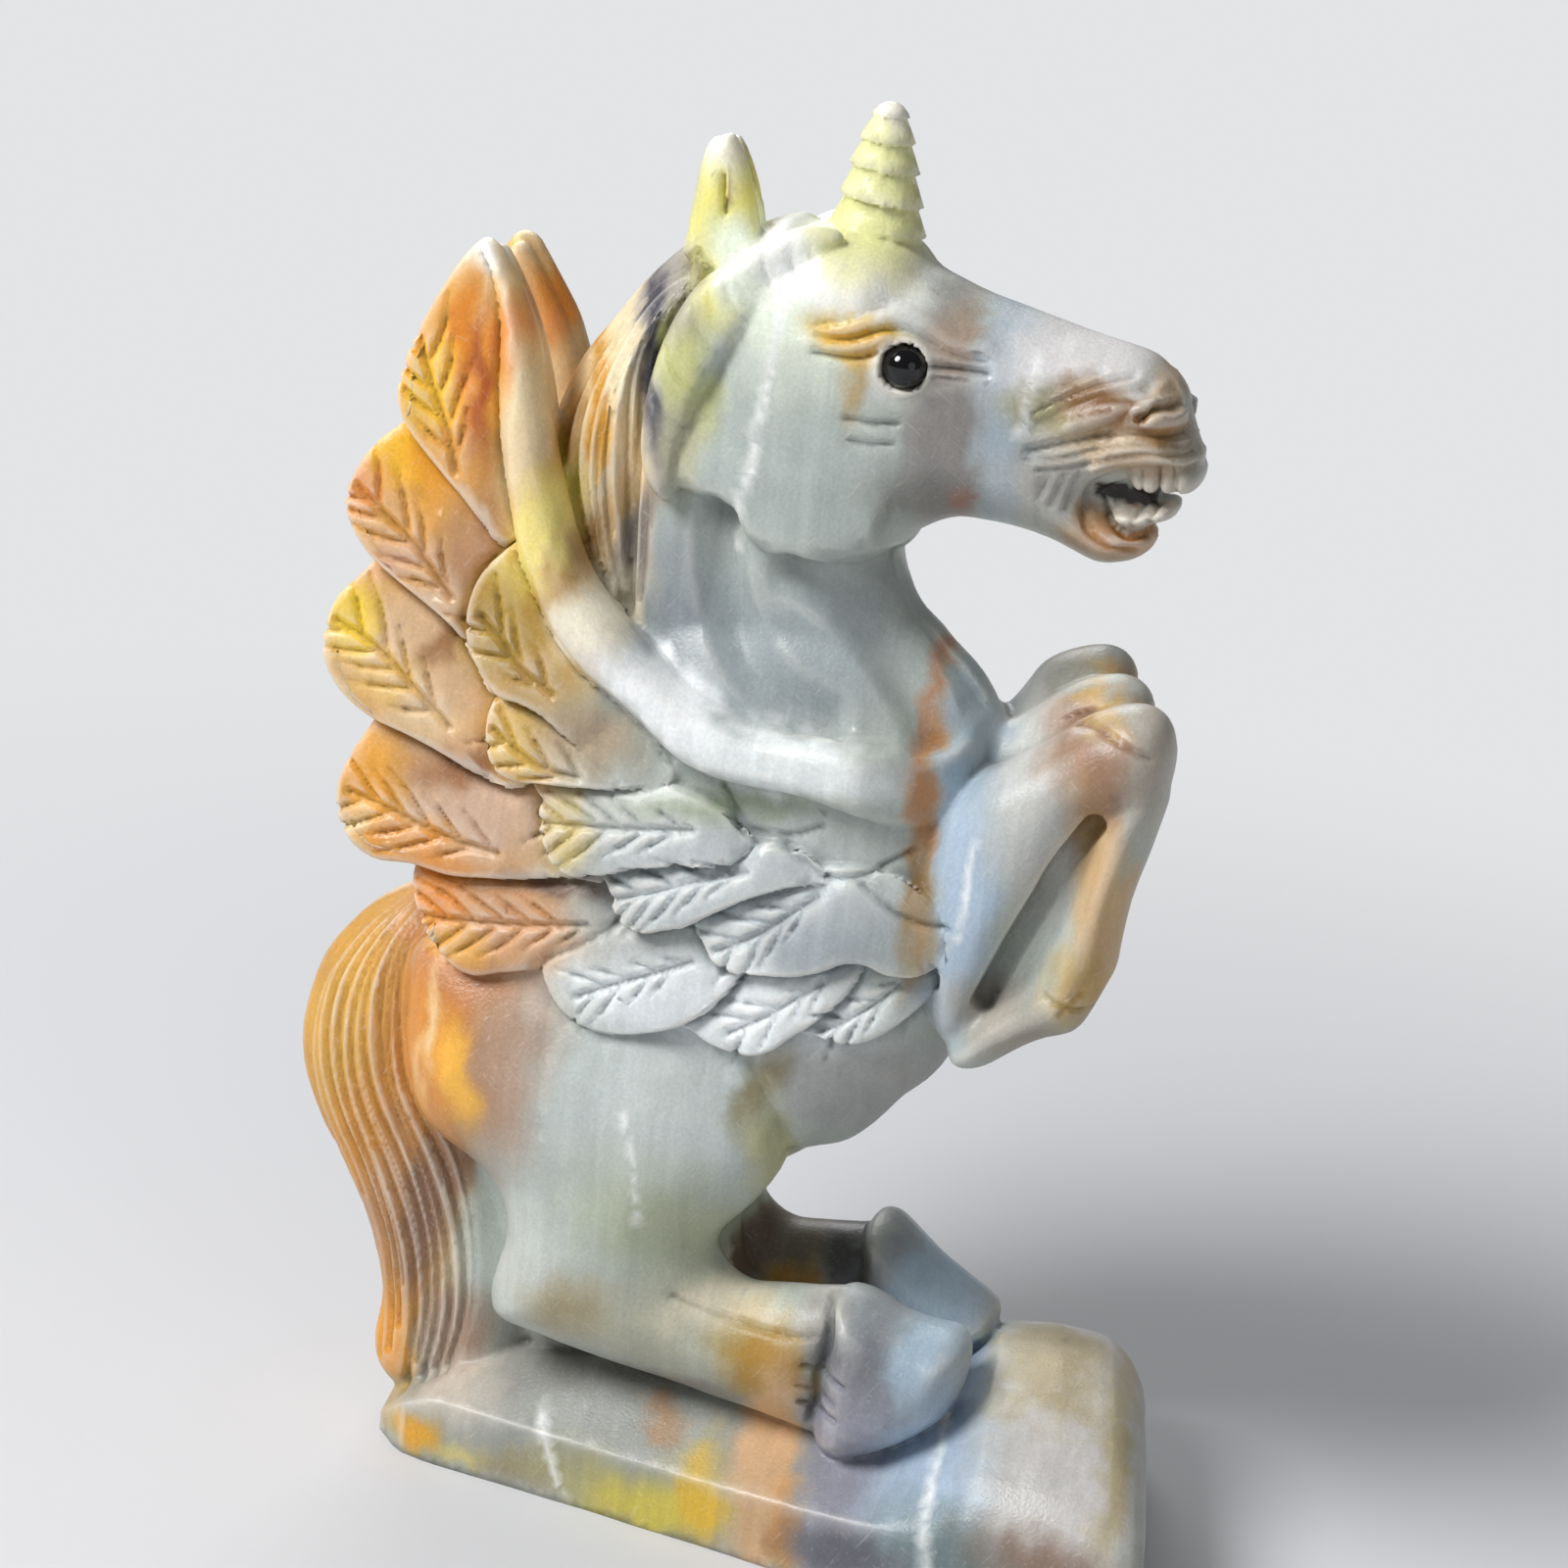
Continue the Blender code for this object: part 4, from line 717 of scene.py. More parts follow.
def turn_horn(points):
    """Set the horn's skin to its ledges again, which the fusing has rounded."""
    off = points[:, :2] - np.array(HORN_FOOT[:2])
    away = np.hypot(off[:, 0], off[:, 1])
    level = points[:, 2] + ring_drop(points)
    on_horn = (level > HORN_LEDGES[0]) & (level < HORN_TIP[2] - 0.3) & (away < HORN_FOOT_R + RING_STEP)
    on_horn &= away > 0.6 * horn_radius(level)
    share = horn_radius(level[on_horn]) / away[on_horn]
    points[on_horn, :2] = np.array(HORN_FOOT[:2]) + off[on_horn] * share[:, None]
    return points


def rough_masses():
    """The masses that are rubbed into each other."""
    head_half = along_x((-12, 11.0), (0, CHEEK_HALF - 0.3), (6, CHEEK_HALF - 0.5), (11, EYE_HALF), (18, 8.6),
                        (25, NOSE_HALF), (32, NOSE_HALF), (38, LIP_HALF))
    thigh_by_x = along_x((-36, THIGH_HALF), (-8, THIGH_HALF), (0, 7.0), (15, 6.6))
    thigh_by_z = along_z((46, 1.0), (58, 0.45))
    hind = slab(THIGH, -HIND_LEG_Y, lambda x, z: thigh_by_x(x, z) * thigh_by_z(x, z), 11.0)
    arm = slab(ARM, along_x((12, -5.0), (24, -FORELEG_Y)), along_x((12, 3.6), (24, FORELEG_HALF)), 6.0)
    cannon = slab(CANNON, -FORELEG_Y, FORELEG_HALF - 0.4, 4.2)

    slot_floor = slab(SLOT_FLOOR, -SLOT_FLOOR_Y, SLOT_FLOOR_HALF, 2.0)

    def far_leg(points):
        reach = np.clip((points[:, 0] - FAR_LEG_FROM) / FAR_LEG_RUN, 0.0, 1.0)
        return np.stack([-FAR_LEG_BACK * reach, 0 * reach, FAR_LEG_RISE * reach], axis=1)

    return [
        slab(TORSO, 0.0, CHEST_HALF, 13.0),
        slab(NECK, 0.0, NECK_HALF, 8.0),
        slab(HEAD, 0.0, head_half, HEAD_EDGE),
        hind, mirrored(hind),
        slab(TAIL, 0.0, TAIL_HALF, 7.0),
        arm, mirrored(arm, far_leg),
        cannon, mirrored(cannon, far_leg),
        slab([(-30, 40), (-25, 20), (-18, 8), (12, 8), (20, 10), (22, 18), (13, 22), (2, 23), (-2, 36)], 0.0,
             5.0, 3.0),
        slot_floor, mirrored(slot_floor, far_leg),
        slab([(x - WEB_BACK, z + WEB_RISE) for x, z in ARM], 0.0, WEB_HALF, 4.0),
        slab([(x - WEB_BACK, z + WEB_RISE) for x, z in CANNON], 0.0, WEB_HALF, 4.0),
    ]


def crisp_masses():
    """The parts with clear edges, laid on the rubbed masses."""
    near = wing()
    hoof = slab(HIND_HOOF, -HIND_LEG_Y, HOOF_HALF, 4.6)
    far_hoof = slab(FAR_HIND_HOOF, HIND_LEG_Y, HOOF_HALF, 3.5)
    ear = slab(EAR, -EAR_Y, EAR_HALF, 2.0, cell=0.8)
    lock_half = along_x((-6, 3.2), (1.5, 1.2))
    lock = slab(LOCK, along_x((-15, -9.8), (-8, -9.4), (2, -7.4)), lock_half, 1.8, cell=0.9)
    mane = slab(MANE, 0.0, MANE_HALF + 1.2, 8.0)

    def cheek_half(x, z):
        return CHEEK_HALF - 2.6 * np.clip((z - 112) / 14, 0, 1) - 1.8 * np.clip((x - 3) / 8, 0, 1)

    cheek = slab(CHEEK, 0.0, cheek_half, 3.0)
    upper_lip = slab(UPPER_LIP, 0.0, NOSE_HALF + 0.3, 4.0)
    parts = [mane, cheek, upper_lip, hoof, far_hoof, ear, horn(), lock, mirrored(lock), rock()]
    parts.append(mirrored(ear, lambda p: np.full(p.shape, 1.0) * np.array([-2.6, -0.4, -1.8])))
    parts.extend(near)
    parts.extend(mirrored(piece, far_wing_shift) for piece in near)
    return parts


# Cut lines
def between(first, second, share):
    """A line part of the way from one guide line to another."""
    a, b = curve(first, closed=False, steps=6), curve(second, closed=False, steps=6)
    rows = np.linspace(0, 1, 40)
    at = [np.stack([np.interp(rows, np.linspace(0, 1, len(c)), c[:, i]) for i in (0, 1)], axis=1) for c in (a, b)]
    share = np.asarray(share, float).reshape(-1, 1)
    return at[0] * (1 - share) + at[1] * share


# Lines cut into the stone, as they are seen from the side
BROW = [(1, 126), (3.5, 127), (5.5, 127.9), (8, 129), (10, 129.2), (11.8, 128.7), (13.6, 127.4), (17, 126.8)]
FACE_CREASES = [
    ([(1.6, 125), (4.1, 124.8), (6.2, 125), (7.6, 125.7)], 0.5, 0.5),
    ([(1.5, 126.6), (4.5, 126.6), (7.4, 127.8), (10, 128.1), (12.4, 127.2), (14.8, 126.2), (17.4, 125.9)], 0.55, 0.45),
    ([(12.6, 124.9), (15, 124.9), (17.7, 124.7)], 0.65, 0.8),
    ([(12.8, 123.9), (14.3, 123.9), (16, 124)], 0.4, 0.35),
    ([(1.5, 127.6), (4, 128.3), (7.6, 130)], 0.5, 0.3),
    ([(5.1, 119), (7.6, 118.8), (10.2, 119.1)], 0.55, 0.55),
    ([(5.8, 116.9), (7.8, 116.8), (9.9, 117.1)], 0.5, 0.45),
    ([(22.4, 121.5), (25.1, 123.3), (28, 125), (31, 126)], 0.6, 0.5),
    ([(23, 123.2), (25.5, 124.8), (28, 126.2)], 0.5, 0.3),
    ([(24, 120.4), (27, 122), (29.5, 123)], 0.5, 0.35),
    ([(22, 117), (25.5, 117.5), (28, 118.5), (31.5, 119.8), (35, 120.2), (37, 119.8)], 0.5, 0.4),
    ([(23.5, 116), (26.5, 116.6), (30, 118), (33.5, 119.1), (37.5, 119.2)], 0.5, 0.45),
    ([(29, 116.4), (32.5, 117.6), (36.5, 118.2)], 0.5, 0.3),
    ([(24.7, 116.2), (24.2, 114.6), (23.7, 113.2)], 0.5, 0.3),
    ([(26, 116), (25.5, 114.3), (25, 112.8)], 0.5, 0.3),
    ([(27.3, 116.2), (26.7, 114.3), (26.3, 112.4)], 0.5, 0.3),
    ([(32, 116.9), (29.6, 115.8), (28.2, 114.4), (27.9, 112.6), (28.7, 110.6), (30.6, 109.3), (33, 109)], 0.6, 0.5),
    ([(29.5, 113), (30.3, 111.6), (31.8, 110.6), (33.5, 110.2), (34.8, 110.7)], 0.5, 0.7),
    ([(31.2, 117), (33, 117.3), (35, 117.6), (38.5, 118)], 0.4, 0.5),
    ([(34.7, 117.6), (34.8, 116), (34.8, 114.2)], 0.45, 0.75),
    ([(36.2, 117.8), (36.3, 116), (36.4, 114.2)], 0.4, 0.65),
    ([(33.2, 117), (33.2, 115.4), (33.3, 114)], 0.35, 0.35),
    ([(35, 114.2), (34.4, 112.9), (34.2, 111.2)], 0.4, 0.5),
    ([(33.4, 113.4), (32.8, 112.4), (32.6, 111.2)], 0.35, 0.35),
]
NOSTRIL = [(32.6, 122.6), (33.6, 123.4), (34.6, 123.8), (35.6, 123.6)]
NOSE_SHELF_TOP = [(23, 120.6), (25, 121.8), (27.5, 123.3), (30, 124.3), (33, 125), (35.2, 124.8)]
NOSE_SHELF_FOOT = [(22.5, 117.8), (25, 118.7), (29, 120.1), (33, 121), (36.5, 121)]
NECK_FOLDS = [
    ([(-6.8, 107), (-6.6, 104), (-5.9, 100.3), (-4.3, 96.5), (-1.5, 93.2), (2.4, 90.8), (6.5, 89.5)], 3.4, 1.7),
    ([(1, 102.5), (3.5, 101.6), (6, 100.3), (9.5, 97.6), (12.8, 94.4), (15.4, 91.4), (17, 89)], 3.2, 1.4),
    ([(9.9, 104.5), (11.8, 101), (14.7, 97.6), (17.5, 94.1), (19.4, 91)], 2.2, 0.5),
]
ARM_EDGE = [(24, 87.8), (25.5, 89.4), (28, 91.2), (30.5, 92.3), (33.1, 92.8), (36.5, 91.9), (38.5, 91)]
LEG_CREASES = [
    ([(31.5, 65.5), (33.5, 64.7), (35.5, 64)], 0.5, 0.5),
    ([(33.3, 63.8), (34.3, 65.2), (35, 66.2)], 0.45, 0.4),
    ([(-2.5, 26), (-0.5, 25.1), (2.5, 24.3), (5.5, 24), (9.5, 23.9), (12.5, 24.2)], 0.6, 0.45),
    ([(13.3, 27.6), (14, 25.5), (14, 23), (13.2, 20), (13.3, 17), (12.8, 14.5)], 0.7, 0.6),
    ([(11.8, 21), (14, 20.5), (16.5, 20.2)], 0.45, 0.6),
    ([(11.5, 18.6), (13.5, 18.2), (15.5, 17.8)], 0.4, 0.5),
    ([(11.8, 16.8), (13.5, 16.4), (16, 16.2)], 0.45, 0.6),
    ([(2.5, 52.5), (4, 49.5), (6, 45.5), (6.5, 41)], 1.4, 0.5),
    ([(-17.5, 52.5), (-18.3, 49), (-18.3, 46), (-17.5, 42.5)], 1.6, 0.25),
]
SLOT_BACK = [(34, 83.3), (33, 81.5), (31.3, 78.5), (29.7, 74.5), (28, 70.5), (26.6, 66.8), (25.2, 63)]
LEAVES_BY_THE_BAND = [
    ([(-3, 81), (-1.5, 79), (0, 77.2), (2.5, 76.9), (5, 77.3), (7.5, 78.6)], 0.6, 0.55),
    ([(4, 76.5), (6, 75.4), (8.5, 74), (11, 74.3), (13, 75), (14.5, 76), (16.5, 77.3)], 0.6, 0.55),
    ([(12.5, 74), (14.5, 72.4), (16.5, 71), (19, 70.3), (21, 70.3)], 0.6, 0.6),
]

# The forelock's upper and lower edges, between which its slanting grooves run
LOCK_TOP = [(0, 135.8), (-3, 135), (-6, 133.6), (-9, 131.4), (-11.6, 128.6), (-13.4, 125), (-14.6, 121), (-15.2, 116)]
LOCK_FOOT = [(1.1, 132.7), (-1.2, 130.1), (-3.2, 127.9), (-5.2, 125.3), (-7.2, 122.5), (-8.9, 119.3), (-9.8, 115.8),
             (-10.5, 111.5)]
LOCK_GROOVES = 13
EAR_SLIT = [(-10.2, 139.7), (-10, 138), (-9.7, 136)]

# The teeth from the side, and how far they reach across
UPPER_TEETH = [(31.2, 118), (31.6, 115.6), (32.4, 114.7), (33.8, 114.4), (34.7, 114.6), (35.4, 114.6), (36.3, 114.8),
               (37.4, 114.8), (38.1, 115.6), (38.2, 117), (36.5, 118.6), (33, 118.6)]
LOWER_TEETH = [(30, 111.6), (31, 112.7), (33, 113), (35, 113.8), (36.3, 113.3), (36.1, 112.2), (34.4, 111.3),
               (32, 110.6)]
THROAT = [(27.5, 116), (31.5, 117), (34, 116.5), (34, 112), (31, 111), (27.5, 112)]
TEETH_HALF = 5.3
HAIR_SEED = 3


def on_far_wing(line):
    """The same line where the far wing carries it."""
    line = np.array(line, float)
    place = np.stack([line[:, 0], 0 * line[:, 0], line[:, 1]], axis=1)
    return line + far_wing_shift(place)[:, [0, 2]]


def barbs(midrib, reach, chance):
    """Short cuts from the midrib out towards the feather's end, on both sides."""
    rib = curve(midrib, closed=False, steps=4)
    run = np.concatenate([[0], np.cumsum(np.linalg.norm(np.diff(rib, axis=0), axis=1))])
    cuts = []
    for side in (1, -1):
        s = BARB_SPACING * (0.6 if side > 0 else 1.0)
        while s < run[-1]:
            at = np.array([np.interp(s, run, rib[:, i]) for i in (0, 1)])
            ahead = rib[0] - rib[-1]
            ahead /= np.linalg.norm(ahead)
            out = np.array([-ahead[1], ahead[0]]) * side
            size = reach * (0.6 + 0.4 * math.sin(math.pi * min(s / run[-1] + 0.15, 1.0)))
            size *= chance.uniform(0.75, 1.1)
            middle = at + (out * 0.45 + ahead * 0.5) * size
            end = at + (out * chance.uniform(0.7, 0.85) + ahead * chance.uniform(0.95, 1.15)) * size
            line = curve([at + out * chance.uniform(0.1, 0.6), middle, end], closed=False, steps=3)
            cuts += [(line, BARB_HALF * 0.7, BARB_DEPTH * 0.55), (line[:5], BARB_HALF, BARB_DEPTH)]
            s += BARB_SPACING * chance.uniform(0.8, 1.25)
    return cuts


def near_and_far(line, half, depth, low_y, high_y, far=None, soft=False):
    """One cut on both sides of the figure."""
    return [(line, half, depth, -1, low_y, high_y, soft),
            (line if far is None else far, half, depth, 1, low_y, high_y, soft)]


def feather_cuts():
    """Midribs and barbs of every feather."""
    chance = random.Random(BARB_SEED)
    cuts = []
    for row, reach in ((QUILLS, QUILL_BARB), (COVERTS, COVERT_BARB), (LOWER_ROW, LOWER_BARB)):
        for outline, midrib in row.values():
            rib = curve(midrib, closed=False, steps=4)
            cuts += near_and_far(rib, 0.7, 0.75, WING_INNER_SIDE, 30, on_far_wing(rib))
            for barb, half, depth in barbs(midrib, reach, chance):
                cuts += near_and_far(barb, half, depth, WING_INNER_SIDE, 30, on_far_wing(barb))
    for line, half, depth in LEAVES_BY_THE_BAND:
        cuts += near_and_far(curve(line, closed=False), half, depth, WING_INNER_SIDE, 30)
    return cuts


def hair_cuts():
    """Deep cuts between strands, and finer ones on them."""
    cuts = []
    chance = random.Random(HAIR_SEED)
    rows = np.linspace(0, 1, 40)
    for back, front, strands, high, pull in ((MANE_BACK, MANE_FRONT, MANE_STRANDS, MANE_HALF + 2.5, 0.45),
                                             (TAIL_BACK, TAIL_FRONT, TAIL_STRANDS, TAIL_HALF + 1.5, 0.0)):
        for k in range(2 * strands):
            deep = k % 2 == 0
            share = (k + 0.5 + chance.uniform(-0.6, 0.6)) / (2 * strands)
            share = share + pull * (1 - share) * rows ** 2 + 0.02 * np.sin(6 * rows + k)
            first = 0 if deep else chance.randrange(0, 14)
            last = 40 - chance.randrange(0, 5 if deep else 16)
            line = between(back, front, share)[first:last]
            cuts += near_and_far(line, 0.75 if deep else 0.45, 0.7 if deep else 0.25, 0, high)
    for k in range(LOCK_GROOVES):
        share = (k + 0.5 + chance.uniform(-0.2, 0.2)) / LOCK_GROOVES
        top, foot = curve(LOCK_TOP, closed=False), curve(LOCK_FOOT, closed=False)
        a, b = top[int(share * (len(top) - 1))], foot[int(share * (len(foot) - 1))]
        line = [a + (b - a) * 0.15, a + (b - a) * 0.5 + np.array([-0.4, -0.4]), a + (b - a) * 0.85]
        cuts += near_and_far(curve(line, closed=False), 0.45, 0.1 + 0.14 * (k % 2), 5, 16)
    return cuts


def body_cuts():
    """Creases of the face, neck and legs, the nostril and nose shelf, the arm's edge, the slot and the ear's slit."""
    cuts = []
    for line, half, depth in FACE_CREASES:
        cuts += near_and_far(curve(line, closed=False), half, depth, 2, 16)
    for line, half, depth in LEG_CREASES:
        cuts += near_and_far(curve(line, closed=False), half, depth, 2, 20)
    cuts += near_and_far(curve(NOSTRIL, closed=False), 0.8, 1.3, 2, 16)
    cuts += near_and_far(curve(NOSE_SHELF_FOOT, closed=False), 0.9, 0.7, 2, 16)
    cuts += near_and_far(curve(NOSE_SHELF_TOP, closed=False), 1.1, 0.4, 2, 16, soft=True)
    for line, half, depth in NECK_FOLDS:
        cuts += near_and_far(curve(line, closed=False), half, depth, 2, 14, soft=True)
    cuts += near_and_far(curve(ARM_EDGE, closed=False), 0.6, 0.5, 4, 20)
    cuts += near_and_far(curve(SLOT_BACK, closed=False), 1.3, 1.6, 4, 20)
    cuts += near_and_far(curve(EAR_SLIT, closed=False), 0.5, 0.8, 4, 12)
    return cuts


def lay_feathers(points, normals):
    """Set the wings' skin to the leaf that lies uppermost at each place, each leaf with a clean edge."""
    leaves = [(curve(BAND), None, None)]
    for row, lift in ((COVERTS, COVERT_LIFT), (LOWER_ROW, LOWER_ROW_LIFT), (QUILLS, QUILL_LIFT)):
        for outline, midrib in row.values():
            leaves.append((curve(outline), leaf_face(outline, lift, midrib), leaf_root(lift, midrib)))
    for side in (-1, 1):
        index = np.nonzero((points[:, 1] * side > WING_INNER_SIDE) & (normals[:, 1] * side > 0.15))[0]
        place = points[index]
        if side > 0:
            place = place - far_wing_shift(place)
        flat = place[:, [0, 2]]
        above = np.full(len(index), VALLEY_WIDE)
        free = np.ones(len(index), bool)
        for ring, face, root in leaves:
            low, high = ring.min(axis=0) - VALLEY_WIDE, ring.max(axis=0) + VALLEY_WIDE
            near = np.nonzero(free & np.all((flat > low) & (flat < high), axis=1))[0]
            here = flat[near]
            edge = distance(here, ring)
            held = inside(here, ring)
            if face is not None:
                mine, away = near[held], edge[held]
                height = face(here[held][:, 0], here[held][:, 1])
                behind, sink = root(here[held])
                fall = LEAF_FALL * np.clip(1 - away / LEAF_FALL_WIDE, 0, 1) ** 2
                fall += LEAF_ROUND * np.clip(1 - away / LEAF_ROUND, 0, 1) ** 2
                height -= fall * (1 - behind) + sink
                height -= VALLEY * np.clip(1 - above[mine] / VALLEY_WIDE, 0, 1) ** 2 * (1 - 0.5 * behind)
                points[index[mine], 1] = side * height
            free[near[held]] = False
            above[near] = np.minimum(above[near], edge)
    return points


def raised_lines():
    """Ridges left standing: the brow, the nostril's flange and the rim that was ground round each eye."""
    ring = [(EYE_AT[0] + EYE_RIM * math.cos(a), EYE_AT[1] + EYE_RIM * math.sin(a))
            for a in np.linspace(0, 2 * math.pi, 25)]
    lines = near_and_far(curve(BROW, closed=False), 1.5, 0.4, 4, 16, soft=True)
    lines += near_and_far(np.array(ring), RIM_HALF, RIM_RISE, 4, 16, soft=True)
    flange = [(26, 121.2), (29, 122.6), (32, 123.2), (35, 122.6)]
    lines += near_and_far(curve(flange, closed=False), 1.8, 0.6, 2, 16, soft=True)
    lid = [(2.5, 125.6), (5.5, 126), (8, 127.2)]
    lines += near_and_far(curve(lid, closed=False), 1.0, 0.4, 2, 16, soft=True)
    return lines


def press(points, normals, lines):
    """How deep each point is pressed by the lines."""
    depth = np.zeros(len(points))
    for line, half, deep, side, low_y, high_y, soft in lines:
        low, high = line.min(axis=0) - half, line.max(axis=0) + half
        across = points[:, 1] * side
        near = (across > low_y) & (across < high_y) & (normals[:, 1] * side > 0.05)
        near &= (points[:, 0] > low[0]) & (points[:, 0] < high[0])
        near &= (points[:, 2] > low[1]) & (points[:, 2] < high[1])
        index = np.nonzero(near)[0]
        if len(index):
            share = np.clip(distance(points[index][:, [0, 2]], line, closed=False) / half, 0.0, 1.0)
            cut = deep * ((1 - share ** 2) ** 2 if soft else (1 - share) ** 1.15)
            depth[index] = np.maximum(depth[index], cut)
    return depth


def lumpy(points, size, amount):
    """Slow unevenness of a hand worked surface, in millimetres."""
    return np.array([noise.noise(Vector(p) / size) for p in points]) * amount


def drill_socket(points, side):
    """Points inside an eye's socket moved down to its round floor."""
    centre = eye_place(side)
    r = BEAD_R + SOCKET_FIT
    off = points - centre
    ring = np.hypot(off[:, 0], off[:, 2])
    inner = (ring < r) & (np.abs(off[:, 1]) < 4.0)
    points[inner, 1] = centre[1] - side * np.sqrt(r * r - ring[inner] ** 2)
    return points


def eye_place(side):
    """The middle of an eye in the carving's millimetres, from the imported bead."""
    low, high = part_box("eye_right" if side < 0 else "eye_left")
    return np.array((low + high) / 2) / MM - np.array(CARVING_SHIFT)


def hollows(points, edges, rounds):
    """How far each point lies below the skin around it, in millimetres: above 0 in hollows, below on edges."""
    count = np.bincount(edges.ravel(), minlength=len(points)).reshape(-1, 1)
    flat = points.copy()
    for _ in range(rounds):
        total = np.zeros_like(flat)
        for i in range(3):
            total[:, i] += np.bincount(edges[:, 0], flat[edges[:, 1], i], len(points))
            total[:, i] += np.bincount(edges[:, 1], flat[edges[:, 0], i], len(points))
        flat = 0.5 * flat + 0.5 * total / count
    return flat - points
